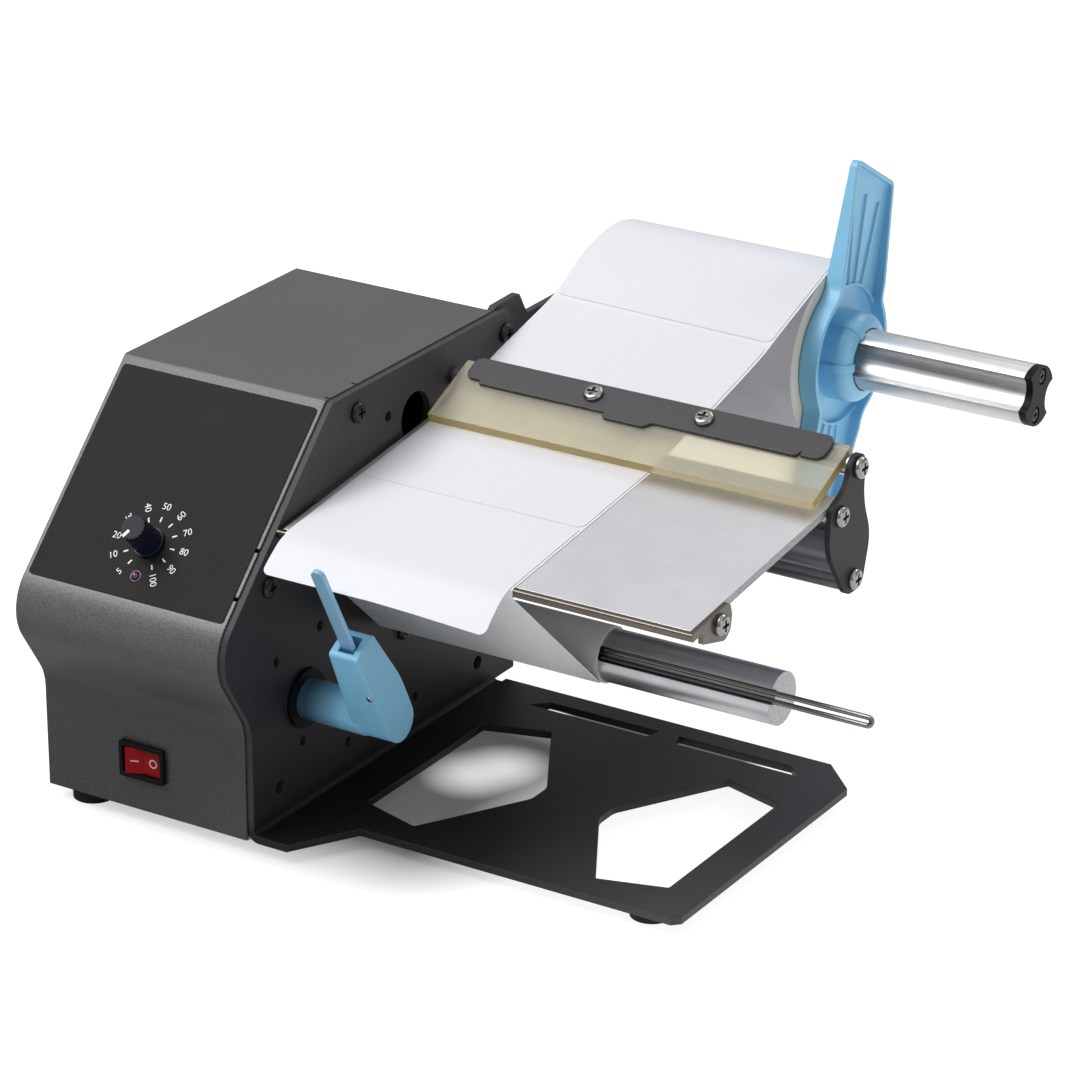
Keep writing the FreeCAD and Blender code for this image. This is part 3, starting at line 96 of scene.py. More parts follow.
bpy.ops.object.select_all(action="DESELECT")
bpy.ops.mesh.primitive_plane_add(size=2 * table_half, location=(0, 0, 0))
table = bpy.context.object
table.name = "table"
table_white = new_material("table_white", Roughness=0.6)
tree = table_white.node_tree
rays = add_node(tree, "ShaderNodeLightPath").outputs
place = add_node(tree, "ShaderNodeTexCoord").outputs["Object"]
side = add_node(tree, "ShaderNodeSeparateXYZ", {0: place}).outputs["X"]
mirrored = spread(tree, side, 0.15, 1.0, -0.12, 0.0)
mirrored = maths(tree, "MULTIPLY", rays["Is Glossy Ray"], mirrored)
seen = maths(tree, "MAXIMUM", rays["Is Camera Ray"], mirrored)
seen = maths(tree, "MAXIMUM", seen, rays["Is Transmission Ray"])


def outside_box(tree, place, middle, half):
    """How far a point of the table is from a rectangle on it."""
    off = place
    for operation, value in (("SUBTRACT", middle), ("ABSOLUTE", None), ("SUBTRACT", half),
                             ("MAXIMUM", (0, 0, 0))):
        inputs = {0: off} if value is None else {0: off, 1: value}
        off = add_node(tree, "ShaderNodeVectorMath", inputs, operation=operation).outputs[0]
    return add_node(tree, "ShaderNodeVectorMath", {0: off}, operation="LENGTH").outputs["Value"]


painted_shadow_reach = 0.05           # how far the dimness under the foot plate spreads out from its edges
# Painted shadow: by the housing and under the foot plate's slots the table glows less and is painted a
# darker grey.
by_wall = outside_box(tree, place, (-0.0725, -0.0525, 0), (0.0575, 0.0525, 1))
by_slots = outside_box(tree, place, (0.015, 0.030, 0), (0.040, 0.001, 1))
by_slots = maths(tree, "MULTIPLY", by_slots, 5.0)
away = maths(tree, "MINIMUM", by_wall, by_slots)
haze = spread(tree, away, 0.08, 0.9, 0.0, painted_shadow_reach)
painted_shadow_grey = spread(tree, away, 0.17, 0.36, 0.0, painted_shadow_reach)
tree.links.new(painted_shadow_grey, tree.nodes["Principled BSDF"].inputs["Base Color"])
# A painted pool of light on the table, where light falls through the foot plate's window.
light_spot_at, light_spot_turn = (-0.026, -0.032, 0), math.radians(58)
turned = add_node(tree, "ShaderNodeVectorRotate", {"Vector": place, "Center": light_spot_at,
                                                   "Axis": (0, 0, 1), "Angle": -light_spot_turn}).outputs[0]
painted_light_spot = outside_box(tree, turned, light_spot_at, (0.006, 0.0, 1))
painted_light_spot = spread(tree, painted_light_spot, 0.66, 0.0, 0.0, 0.030, interpolation_type="SMOOTHSTEP")
haze = maths(tree, "MAXIMUM", haze, painted_light_spot)
glow = add_node(tree, "ShaderNodeEmission", {"Color": (1, 1, 1, 1), "Strength": haze})
matt = tree.nodes["Principled BSDF"].outputs[0]
lit = add_node(tree, "ShaderNodeAddShader", {0: matt, 1: glow.outputs[0]})
seen = maths(tree, "MAXIMUM", seen, spread(tree, side, 0.02, 1.0, 0.0, 0.12))
both = add_node(tree, "ShaderNodeMixShader", {0: seen, 1: matt, 2: lit.outputs[0]})
tree.links.new(both.outputs[0], tree.nodes["Material Output"].inputs["Surface"])
table.data.materials.append(table_white)

world = bpy.data.worlds.new("studio")
bpy.context.scene.world = world
world.use_nodes = True
tree = world.node_tree
rays = add_node(tree, "ShaderNodeLightPath").outputs
direction = add_node(tree, "ShaderNodeTexCoord").outputs["Generated"]
height = add_node(tree, "ShaderNodeSeparateXYZ", {0: direction}).outputs["Z"]
bands = add_node(tree, "ShaderNodeValToRGB", {0: height})
ramp = bands.color_ramp
ramp.elements[0].position = 0.0
ramp.elements[0].color = (0.55, 0.55, 0.56, 1)
ramp.elements[1].position = 0.9
ramp.elements[1].color = (1, 1, 1, 1)
ramp.elements.new(0.22).color = (0.22, 0.22, 0.23, 1)
ramp.elements.new(0.48).color = (0.62, 0.62, 0.64, 1)
mirror_light = add_node(tree, "ShaderNodeBackground", {"Color": bands.outputs[0], "Strength": 1.0})
room_light = add_node(tree, "ShaderNodeBackground", {"Color": (0.95, 0.97, 1, 1), "Strength": 0.16})
white = add_node(tree, "ShaderNodeBackground", {"Color": (1, 1, 1, 1), "Strength": 1.0})
glossy = add_node(tree, "ShaderNodeMixShader", {0: rays["Is Glossy Ray"], 1: room_light.outputs[0],
                                                2: mirror_light.outputs[0]})
straight = maths(tree, "MAXIMUM", rays["Is Camera Ray"], rays["Is Transmission Ray"])
shown = add_node(tree, "ShaderNodeMixShader", {0: straight, 1: glossy.outputs[0], 2: white.outputs[0]})
tree.links.new(shown.outputs[0], tree.nodes["World Output"].inputs["Surface"])


def soft_box(name, place, aim, size, power):
    bpy.ops.object.light_add(type="AREA", location=place)
    lamp = bpy.context.object
    lamp.name = name
    lamp.data.shape = "RECTANGLE"
    lamp.data.size, lamp.data.size_y = size
    lamp.data.energy = power
    lamp.rotation_euler = (Vector(aim) - Vector(place)).to_track_quat("-Z", "Y").to_euler()


soft_box("key_light", (-0.6, -0.55, 1.45), (0, 0, 0.1), (1.3, 1.0), 18.5)
soft_box("fill_light", (1.6, -0.2, 0.6), (0, 0, 0.1), (0.9, 0.9), 4.0)
soft_box("brow_light", (-0.81, -0.90, 1.20), (-0.1, -0.14, 0.13), (0.6, 0.2), 5)
soft_box("rear_light", (0.25, 1.3, 1.2), (0, 0, 0.1), (1.2, 0.6), 7)

look_down, look_round = math.radians(22.8564), math.radians(32.1887)
bpy.ops.object.camera_add(location=(0.86935, -1.42166, 0.8001),
                          rotation=(math.pi / 2 - look_down, 0, look_round))
camera = bpy.context.object
camera.data.lens = 155.4
camera.data.sensor_width = 36.0
camera.data.clip_start = 0.05
camera.data.clip_end = 30.0
bpy.context.scene.camera = camera
bpy.context.scene.view_settings.view_transform = "Standard"

# ---- Side wall and foot plate ----------------------------------------------------------------
# One bent steel sheet, 3 mm, powder coated.  The coat's fine grain scatters the light, and its
# edges are rounded and slightly rubbed.  The foot plate is painted near black by the wall as painted
# shade, and greyer away from it as a painted reflection.
COLOR, NUMBER, VECTOR = "NodeSocketColor", "NodeSocketFloat", "NodeSocketVector"


def effect(name, inputs, outputs):
    """An empty shader node group with its sockets; returns the group, its inputs and outputs."""
    made = bpy.data.node_groups.new(name, "ShaderNodeTree")
    for label, kind, value in inputs:
        made.interface.new_socket(label, in_out="INPUT", socket_type=kind).default_value = value
    for label, kind in outputs:
        made.interface.new_socket(label, in_out="OUTPUT", socket_type=kind)
    return made, made.nodes.new("NodeGroupInput").outputs, made.nodes.new("NodeGroupOutput").inputs


def vector_maths(tree, operation, *inputs, output=0):
    used = add_node(tree, "ShaderNodeVectorMath", dict(enumerate(inputs)), operation=operation)
    return used.outputs[output]


def scaled(tree, colour, factor):
    inputs = {0: colour, "Scale": factor}
    return add_node(tree, "ShaderNodeVectorMath", inputs, operation="SCALE").outputs[0]


def object_place(tree):
    """The point being shaded, in the piece's own space."""
    return add_node(tree, "ShaderNodeTexCoord").outputs["Object"]


def position(tree, axis):
    return add_node(tree, "ShaderNodeSeparateXYZ", {0: object_place(tree)}).outputs[axis]


def facing(tree, axis):
    """How far the surface faces along an axis, -1 to 1."""
    normal = add_node(tree, "ShaderNodeNewGeometry").outputs["Normal"]
    return add_node(tree, "ShaderNodeSeparateXYZ", {0: normal}).outputs[axis]


def noise(tree, place, scale, detail):
    inputs = {"Vector": place, "Scale": scale, "Detail": detail}
    return add_node(tree, "ShaderNodeTexNoise", inputs).outputs["Fac"]


def bumped(tree, height, strength, distance, **normal):
    """The surface's normal, raised by height; a Normal given is the one that it starts from."""
    return add_node(tree, "ShaderNodeBump", {"Height": height, "Strength": strength, "Distance": distance,
                                             **normal}).outputs[0]


def put_out(group, made, **results):
    for name, result in results.items():
        group.links.new(result, made[name])


def blended(tree, factor, low, high):
    """Mixes two colours, each a constant or an output."""
    mix = add_node(tree, "ShaderNodeMix", data_type="RGBA")
    for name, value in (("Factor", factor), ("A", low), ("B", high)):
        socket = mix.inputs[name]
        if isinstance(value, bpy.types.NodeSocket):
            tree.links.new(value, socket)
        else:
            socket.default_value = value
    return mix.outputs["Result"]


soft_edge, given, made = effect("soft_edge", [("Radius", NUMBER, 0.5 * mm)],
                                [("Normal", VECTOR), ("Rub", NUMBER)])
rounded = add_node(soft_edge, "ShaderNodeBevel", {"Radius": given["Radius"]}, samples=6).outputs[0]
flat = add_node(soft_edge, "ShaderNodeNewGeometry").outputs["Normal"]
turn = vector_maths(soft_edge, "DOT_PRODUCT", rounded, flat, output="Value")
put_out(soft_edge, made, Normal=rounded, Rub=spread(soft_edge, turn, 1.0, 0.0, 0.75, 0.98))


def edge_of(tree, radius):
    """The soft edge's two outputs, its Normal and its Rub."""
    return add_node(tree, "ShaderNodeGroup", {"Radius": radius}, node_tree=soft_edge).outputs



powder_coat, given, made = effect(
    "powder_coat",
    [("Paint", COLOR, (0.1, 0.1, 0.1, 1)), ("Grain", NUMBER, 0.35), ("Gloss", NUMBER, 0.5),
     ("Rubbed", NUMBER, 0.3)],
    [("Color", COLOR), ("Roughness", NUMBER), ("Normal", VECTOR)])
place = object_place(powder_coat)
grain = noise(powder_coat, place, 1500.0, 2.0)
cloud = noise(powder_coat, place, 22.0, 3.0)
edge = edge_of(powder_coat, 0.6 * mm)
shade = maths(powder_coat, "MULTIPLY", spread(powder_coat, grain, 0.72, 1.34),
              spread(powder_coat, cloud, 0.95, 1.05))
rubbed = maths(powder_coat, "MULTIPLY", edge["Rub"], given["Rubbed"])
coat = scaled(powder_coat, given["Paint"], shade)
put_out(powder_coat, made, Color=blended(powder_coat, rubbed, coat, (0.22, 0.22, 0.22, 1)),
        Roughness=maths(powder_coat, "ADD", given["Gloss"], spread(powder_coat, grain, -0.08, 0.08)),
        Normal=bumped(powder_coat, grain, given["Grain"], 0.15 * mm, Normal=edge["Normal"]))


def finish(material, used_effect, **values):
    """Feeds the material's shader from an effect; values are constants or outputs."""
    tree = material.node_tree
    inputs = {name.replace("_", " "): value for name, value in values.items()}
    used = add_node(tree, "ShaderNodeGroup", inputs, node_tree=used_effect)
    shader = tree.nodes["Principled BSDF"]
    for output, socket in (("Color", "Base Color"), ("Roughness", "Roughness"), ("Normal", "Normal")):
        tree.links.new(used.outputs[output], shader.inputs[socket])


def dress(material, *names):
    for name in names:
        nodes[name].data.materials.clear()
        nodes[name].data.materials.append(material)


# Painted shade and light: the foot plate is darker by the wall; the wall is painted darker below 95 mm and
# lighter above 150 mm, and its sheet edges that face up or forward are painted lighter.
plate_shade_colour = (0.006, 0.006, 0.007, 1)
plate_lit_colour = (0.055, 0.054, 0.059, 1)
wall_shade_colour = (0.019, 0.018, 0.021, 1)
wall_lit_colour = (0.046, 0.045, 0.050, 1)
edge_lit_colour = (0.048, 0.047, 0.050, 1)
wall_coat = new_material("wall_coat", Specular_IOR_Level=0.22)
tree = wall_coat.node_tree
away_from_wall_shade = spread(tree, position(tree, "X"), 0.0, 1.0, 20 * mm, 95 * mm)
on_wall = spread(tree, position(tree, "Z"), 0.0, 1.0, 9 * mm, 16 * mm)
high = spread(tree, position(tree, "Z"), 0.0, 1.0, 95 * mm, 150 * mm)
flank = spread(tree, maths(tree, "ABSOLUTE", facing(tree, "X")), 0.0, 1.0)
wall_painted_shade = blended(tree, flank, edge_lit_colour, blended(tree, high, wall_shade_colour, wall_lit_colour))
plate_painted_shade = blended(tree, away_from_wall_shade, plate_shade_colour, plate_lit_colour)
finish(wall_coat, powder_coat, Paint=blended(tree, on_wall, plate_painted_shade, wall_painted_shade),
       Grain=0.35, Gloss=0.48, Rubbed=0.15)
dress(wall_coat, "side_frame", "supply_arm")

# ---- Cover and rear panel --------------------------------------------------------------------
# Bent from 1.5 mm steel sheet and powder coated charcoal; the cover slips over the wall's edge.
# Its lower front is painted darkest as painted shade, and the brow above it palest, as a painted
# highlight where it faces the light.
cover_coat = new_material("cover_coat", Specular_IOR_Level=0.5)
tree = cover_coat.node_tree
# Painted shade on the lower front, and a painted highlight on the brow where it faces forward.
painted_shade_fade = spread(tree, position(tree, "Z"), 0.0, 1.0, 64 * mm, 97 * mm)
above = spread(tree, position(tree, "Z"), 0.0, 1.0, 108 * mm, 128 * mm)
brow = maths(tree, "MULTIPLY", spread(tree, facing(tree, "Y"), 1.0, 0.0, -0.6, -0.2),
             spread(tree, above, 1.0, 0.0, 0.0, 1.0))
upper_painted_light = blended(tree, brow, (0.072, 0.070, 0.075, 1), (0.125, 0.123, 0.130, 1))
finish(cover_coat, powder_coat, Paint=blended(tree, painted_shade_fade, (0.051, 0.050, 0.055, 1), upper_painted_light),
       Grain=0.45, Gloss=0.36, Rubbed=0.15)
dress(cover_coat, "cover", "rear_panel")

# ---- Floor tray, brackets and other plated steel ---------------------------------------------
# Zinc-plated sheet and turned steel, with the faint crystal pattern of the plating.
zinc_plate, given, made = effect(
    "zinc_plate", [("Metal", COLOR, (0.6, 0.6, 0.6, 1)), ("Gloss", NUMBER, 0.4)],
    [("Color", COLOR), ("Roughness", NUMBER), ("Normal", VECTOR)])
place = object_place(zinc_plate)
crystal = add_node(zinc_plate, "ShaderNodeTexVoronoi", {"Vector": place, "Scale": 160.0}).outputs["Color"]
facet = add_node(zinc_plate, "ShaderNodeSeparateXYZ", {0: crystal}).outputs
uneven = spread(zinc_plate, facet[1], -0.08, 0.08, 0, 1)
put_out(zinc_plate, made,
        Color=scaled(zinc_plate, given["Metal"], spread(zinc_plate, facet[0], 0.82, 1.1, 0, 1)),
        Roughness=maths(zinc_plate, "ADD", given["Gloss"], uneven),
        Normal=edge_of(zinc_plate, 0.3 * mm)["Normal"])

zinc = new_material("zinc", Metallic=1.0)
finish(zinc, zinc_plate, Metal=(0.58, 0.59, 0.60, 1), Gloss=0.38)
dress(zinc, "floor_tray", "gear_bracket", "gear_motor", "arm_collar", "potentiometer", "standoffs",
      "wall_nuts", "shaft_clip")
bronze = new_material("bronze", Metallic=1.0)
finish(bronze, zinc_plate, Metal=(0.55, 0.36, 0.18, 1), Gloss=0.35)
dress(bronze, "shaft_bearings")
brass = new_material("brass", Metallic=1.0)
finish(brass, zinc_plate, Metal=(0.72, 0.56, 0.26, 1), Gloss=0.25)
dress(brass, "inlet_blades")

# ---- Feet, switch, inlet, bush and cap -------------------------------------------------------
# Feet of soft rubber; switch frame, sensor bush, mains inlet and spindle cap of black nylon.  All
# are moulded, with a fine spark-eroded skin, soft edges and a faint flow of the melt.
moulded, given, made = effect(
    "moulded", [("Plastic", COLOR, (0.1, 0.1, 0.1, 1)), ("Skin", NUMBER, 0.1), ("Gloss", NUMBER, 0.4),
                ("Edge", NUMBER, 0.5 * mm), ("Worn", NUMBER, 0.1)],
    [("Color", COLOR), ("Roughness", NUMBER), ("Normal", VECTOR)])
place = object_place(moulded)
skin = noise(moulded, place, 1100.0, 2.0)
flow = noise(moulded, place, 45.0, 2.0)
edge = edge_of(moulded, given["Edge"])
body_colour = scaled(moulded, given["Plastic"], spread(moulded, flow, 0.96, 1.04))
worn = maths(moulded, "MULTIPLY", edge["Rub"], given["Worn"])
put_out(moulded, made,
        Color=blended(moulded, worn, body_colour, scaled(moulded, body_colour, 1.5)),
        Roughness=maths(moulded, "ADD", given["Gloss"], spread(moulded, skin, -0.05, 0.05)),
        Normal=bumped(moulded, skin, given["Skin"], 0.1 * mm, Normal=edge["Normal"]))

rubber = new_material("rubber", Specular_IOR_Level=0.3)
finish(rubber, moulded, Plastic=(0.012, 0.012, 0.012, 1), Skin=0.4, Gloss=0.75, Edge=0.6 * mm)
dress(rubber, "rubber_feet")
nylon = new_material("black_nylon", Specular_IOR_Level=0.1)
finish(nylon, moulded, Plastic=(0.005, 0.005, 0.006, 1), Skin=0.15, Gloss=0.42, Edge=0.5 * mm, Worn=0.5)
dress(nylon, "switch_body", "sensor_bush", "power_inlet", "spindle_cap", "micro_switch")
acetal = new_material("acetal")
finish(acetal, moulded, Plastic=(0.80, 0.78, 0.70, 1), Skin=0.05, Gloss=0.35, Edge=0.2 * mm)
dress(acetal, "rewind_gear", "drive_pinion")

# ---- Circuit boards --------------------------------------------------------------------------
# Glass-fibre boards under green lacquer, hidden in the housing.
board_lacquer = new_material("board_lacquer", Coat_Weight=0.4, Coat_Roughness=0.2)
finish(board_lacquer, moulded, Plastic=(0.02, 0.11, 0.05, 1), Skin=0.3, Gloss=0.45, Edge=0.2 * mm)
dress(board_lacquer, "control_board", "power_supply")

# ---- Screws, pins, shafts and the spindle ----------------------------------------------------
# Screws of polished stainless steel, the wall's ones blackened; ground shafts; the spindle is
# extruded aluminium, wiped along its length, with sharp bright flute edges.
drawn, given, made = effect(
    "drawn", [("Metal", COLOR, (0.6, 0.6, 0.6, 1)), ("Along X", NUMBER, 30.0), ("Across", NUMBER, 1500.0),
              ("Lines", NUMBER, 0.15), ("Gloss", NUMBER, 0.3), ("Edge", NUMBER, 0.4 * mm),
              ("Stain", NUMBER, 0.07), ("Grime", NUMBER, 0.0)],
    [("Color", COLOR), ("Roughness", NUMBER), ("Normal", VECTOR)])
place = object_place(drawn)
count = add_node(drawn, "ShaderNodeCombineXYZ",
                 {"X": given["Along X"], "Y": given["Across"], "Z": given["Across"]}).outputs[0]
lines = noise(drawn, vector_maths(drawn, "MULTIPLY", place, count), 1.0, 4.0)
stain = noise(drawn, place, 60.0, 3.0)
stain_and_painted_shade = maths(drawn, "MULTIPLY", spread(drawn, stain, 0.0, 1.0, 0.35, 0.75), given["Stain"])
edge = edge_of(drawn, given["Edge"])
# Edges and recesses are darkened here as painted shade, on top of the stains.
stain_and_painted_shade = maths(drawn, "ADD", stain_and_painted_shade, maths(drawn, "MULTIPLY", edge["Rub"], given["Grime"]))
streak = maths(drawn, "MULTIPLY", spread(drawn, lines, -0.6, 0.4), given["Lines"])
shade = maths(drawn, "SUBTRACT", maths(drawn, "ADD", streak, 1.0), stain_and_painted_shade)
uneven = maths(drawn, "MULTIPLY", spread(drawn, lines, -0.35, 0.35), given["Lines"])
put_out(drawn, made, Color=scaled(drawn, given["Metal"], shade),
        Roughness=maths(drawn, "ADD", given["Gloss"], uneven),
        Normal=bumped(drawn, lines, given["Lines"], 0.05 * mm, Normal=edge["Normal"]))

# The screws' rims and cross recesses are darkened as painted shade.
stainless = new_material("stainless", Metallic=1.0)
finish(stainless, drawn, Metal=(0.30, 0.29, 0.28, 1), Along_X=700.0, Across=700.0, Lines=0.1,
       Gloss=0.20, Edge=0.35 * mm, Grime=0.9)
dress(stainless, "case_screws", "end_plate_screws", "flap_screws", "holder_pins", "inner_screws")
blackened = new_material("blackened", Metallic=0.6)
finish(blackened, drawn, Metal=(0.022, 0.021, 0.022, 1), Along_X=700.0, Across=700.0, Lines=0.2,
       Gloss=0.36, Edge=0.35 * mm)
dress(blackened, "cap_screws", "side_screws")
ground = new_material("ground_steel", Metallic=1.0)
finish(ground, drawn, Metal=(0.66, 0.66, 0.67, 1), Along_X=900.0, Across=60.0, Lines=0.08, Gloss=0.22)
dress(ground, "flap_shaft", "motor_output_shaft", "pot_shaft", "rewind_shaft")
spindle_metal = new_material("spindle_metal", Metallic=1.0)
finish(spindle_metal, drawn, Metal=(0.66, 0.66, 0.67, 1), Along_X=12.0, Across=1400.0, Lines=0.2,
       Gloss=0.40, Edge=0.25 * mm, Stain=0.12)
dress(spindle_metal, "supply_spindle")

# ---- Bearing block, beam, plate and rod of aluminium -----------------------------------------
# The bearing block is machined, the beam is a drawn tube with a lobe for its screw, the rewind rod is
# round stock, and the peel plate is a satin extrusion.  All three have a rough, sawn right end.
rail_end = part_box("peel_plate")[1][0]
cut_grey, cut_white = (0.33, 0.33, 0.34), (0.42, 0.42, 0.43)


def aluminium(name, colour, gloss, end_x, cut_colour, piece_names, **drawing):
    """Drawn aluminium that turns into a rough saw cut within a hair of end_x."""
    metal = new_material(name, Metallic=1.0)
    tree = metal.node_tree
    finish(metal, drawn, Metal=colour, Gloss=gloss, **drawing)
    shader = tree.nodes["Principled BSDF"]
    cut = spread(tree, position(tree, "X"), 0.0, 1.0, end_x - 0.12 * mm, end_x - 0.04 * mm)
    grit = noise(tree, object_place(tree), 1300.0, 3.0)
    sawn = scaled(tree, cut_colour, spread(tree, grit, 0.7, 1.3))
    smooth_colour = shader.inputs["Base Color"].links[0].from_socket
    tree.links.new(blended(tree, cut, smooth_colour, sawn), shader.inputs["Base Color"])
    rough = maths(tree, "MAXIMUM", shader.inputs["Roughness"].links[0].from_socket,
                  maths(tree, "MULTIPLY", cut, 0.55))
    tree.links.new(rough, shader.inputs["Roughness"])
    raised = bumped(tree, maths(tree, "MULTIPLY", grit, cut), 0.6, 0.2 * mm,
                    Normal=shader.inputs["Normal"].links[0].from_socket)
    tree.links.new(raised, shader.inputs["Normal"])
    dress(metal, *piece_names)


# The beam and bearing block are painted a much darker grey than the rod and plate, as painted shade under
# the plate.
aluminium("beam_metal_painted_shade", (0.15, 0.15, 0.165, 1), 0.38, rail_end, cut_grey, ["bearing_block", "cross_beam"],
          Along_X=10.0, Across=1100.0, Lines=0.12)
aluminium("rod_metal", (0.56, 0.56, 0.58, 1), 0.38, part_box("rewind_rod")[1][0], cut_white, ["rewind_rod"],
          Along_X=14.0, Across=1300.0, Lines=0.08, Stain=0.18)
aluminium("plate_metal", (0.70, 0.70, 0.725, 1), 0.42, rail_end, cut_grey, ["peel_plate"],
          Along_X=16.0, Across=1600.0, Lines=0.03)

# ---- Peel strip ------------------------------------------------------------------------------
# Folded from stainless strip, a little browned by the heat of polishing.
strip_metal = new_material("strip_metal", Metallic=1.0)
finish(strip_metal, drawn, Metal=(0.13, 0.115, 0.10, 1), Along_X=18.0, Across=1300.0, Lines=0.3,
       Gloss=0.24, Edge=0.4 * mm, Stain=0.15)
dress(strip_metal, "peel_strip")

# ---- End plate and flap bar ------------------------------------------------------------------
# Laser-cut steel, coated dark grey; the cut edges are nearly black.
bar_coat = new_material("bar_coat", Specular_IOR_Level=0.5)
finish(bar_coat, powder_coat, Paint=(0.034, 0.033, 0.036, 1), Grain=0.12, Gloss=0.42, Rubbed=0.0)
dress(bar_coat, "flap_bar")
end_coat = new_material("end_coat", Specular_IOR_Level=0.25)
finish(end_coat, powder_coat, Paint=(0.015, 0.014, 0.017, 1), Grain=0.2, Gloss=0.52, Rubbed=0.15)
dress(end_coat, "end_plate")

# ---- Control panel film and its dial print ---------------------------------------------------
# A printed polyester film glued to the slope; ticks and plain numbers in white ink round the knob.
film = new_material("panel_film", Specular_IOR_Level=0.10)
finish(film, moulded, Plastic=(0.021, 0.0195, 0.0185, 1), Skin=0.06, Gloss=0.6, Edge=0.2 * mm, Worn=0.0)
dress(film, "panel_overlay")
ink = new_material("white_ink")
finish(ink, moulded, Plastic=(0.86, 0.86, 0.84, 1), Skin=0.1, Gloss=0.5, Edge=0.01 * mm, Worn=0.0)

tilt = math.radians(45.0)       # the slope of the control panel
dial = Vector(joints["knob_turn"]["pos_m"])
on_panel = Matrix.Translation(dial) @ Matrix.Rotation(tilt, 4, "X")
film_top = 0.4 * mm


def apply_place():
    bpy.ops.object.transform_apply(location=True, rotation=True, scale=True)


def edit_all():
    bpy.ops.object.mode_set(mode="EDIT")
    bpy.ops.mesh.select_all(action="SELECT")


def only(piece):
    bpy.ops.object.select_all(action="DESELECT")
    piece.select_set(True)
    bpy.context.view_layer.objects.active = piece
    return piece


def added(name):
    piece = bpy.context.object
    piece.name = name
    piece.data.name = name
    return piece


def merged(pieces, name):
    only(pieces[0])
    for piece in pieces[1:]:
        piece.select_set(True)
    bpy.ops.object.join()
    return added(name)


def set_down(piece, place, body, material):
    """Puts the finished piece in its place, with the place in its mesh, on the body that carries it."""
    only(piece)
    piece.matrix_world = place @ piece.matrix_world
    apply_place()
    piece.data.materials.clear()
    piece.data.materials.append(material)
    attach(piece, body)


def block(lo, hi):
    """A box between two corners, in mm."""
    size = [(b - a) * mm for a, b in zip(lo, hi)]
    middle = [(a + b) / 2 * mm for a, b in zip(lo, hi)]
    bpy.ops.mesh.primitive_cube_add(size=1, location=middle)
    bpy.context.object.scale = size
    apply_place()
    return bpy.context.object


print_t = 0.03
tick_from, tick_to, tick_w = 9.3, 11.4, 0.62
number_r, number_size = 15.8, 3.9
dial_start, dial_step = -150, 30        # degrees clockwise from the top
scale_marks = []
for step in range(11):
    clockwise = dial_start + dial_step * step
    tick = block((-tick_w / 2, tick_from, 0), (tick_w / 2, tick_to, print_t))
    tick.matrix_world = Matrix.Rotation(math.radians(-clockwise), 4, "Z") @ tick.matrix_world
    bpy.ops.object.transform_apply(location=False, rotation=True, scale=False)
    scale_marks.append(tick)
    reading = 0 if clockwise == 0 else 90 - clockwise + (180 if clockwise < 0 else 0)
    out = math.radians(90 - clockwise)
    bpy.ops.object.text_add(location=(number_r * math.cos(out) * mm, number_r * math.sin(out) * mm, 0),
                            rotation=(0, 0, math.radians(reading)))
    number = bpy.context.object
    number.data.body = str(max(5, 10 * step))
    number.data.size = number_size * mm
    number.data.align_x = "CENTER"
    number.data.align_y = "CENTER"
    number.data.extrude = print_t / 2 * mm
    bpy.ops.object.convert(target="MESH")
    apply_place()
    scale_marks.append(bpy.context.object)
dial_print = merged(scale_marks, "dial_print")
on_film = on_panel @ Matrix.Translation((0, 0, film_top + print_t / 2 * mm))
set_down(dial_print, on_film, "chassis", ink)

# ---- Speed knob and its pointer --------------------------------------------------------------
# Moulded nylon, navy, its flat top a matt grey disc; a raised white line runs from the middle of the
# top over the edge and down to the skirt.
knob_top = 15.4 * mm
knob_blue = new_material("knob_blue", Specular_IOR_Level=0.25)
tree = knob_blue.node_tree
above = vector_maths(tree, "SUBTRACT", object_place(tree), dial)
above = vector_maths(tree, "DOT_PRODUCT", above, (0, -math.sin(tilt), math.cos(tilt)), output="Value")
top_disc = spread(tree, above, 0.0, 1.0, knob_top - 0.10 * mm, knob_top - 0.03 * mm)
knob_colour = blended(tree, top_disc, (0.005, 0.007, 0.020, 1), (0.040, 0.037, 0.043, 1))
finish(knob_blue, moulded, Plastic=knob_colour, Skin=0.2,
       Gloss=spread(tree, top_disc, 0.28, 0.75, 0.0, 1.0), Edge=0.35 * mm, Worn=0.8)
dress(knob_blue, "speed_knob")

pointer_w, pointer_len = 1.4, 3.5
pointer_fall = 12.6             # from the knob's top down to its skirt
bpy.ops.mesh.primitive_cube_add(size=1, location=(0, pointer_len * mm, knob_top + 0.02 * mm))
knob_pointer = added("knob_pointer")
knob_pointer.scale = (pointer_w * mm, pointer_len * mm, 0.2 * mm)
apply_place()
bpy.ops.object.mode_set(mode="EDIT")
bpy.ops.mesh.select_all(action="DESELECT")
sheet = bmesh.from_edit_mesh(knob_pointer.data)
for face in sheet.faces:
    face.select = face.normal.y > 0.9
bmesh.update_edit_mesh(knob_pointer.data)
bpy.ops.mesh.extrude_region_move(TRANSFORM_OT_translate={"value": (0, 0.25 * mm, -0.1 * mm)})
bpy.ops.mesh.select_all(action="DESELECT")
sheet = bmesh.from_edit_mesh(knob_pointer.data)
for face in sheet.faces:
    middle = face.calc_center_median()
    face.select = middle.y > 5.3 * mm and face.normal.z < -0.5
bmesh.update_edit_mesh(knob_pointer.data)
bpy.ops.mesh.extrude_region_move(TRANSFORM_OT_translate={"value": (0, 0.62 * mm, -pointer_fall * mm)})
bpy.ops.mesh.select_all(action="SELECT")
bpy.ops.mesh.normals_make_consistent(inside=False)
bpy.ops.object.mode_set(mode="OBJECT")
rounding = knob_pointer.modifiers.new("rounding", "BEVEL")
rounding.width = 0.06 * mm
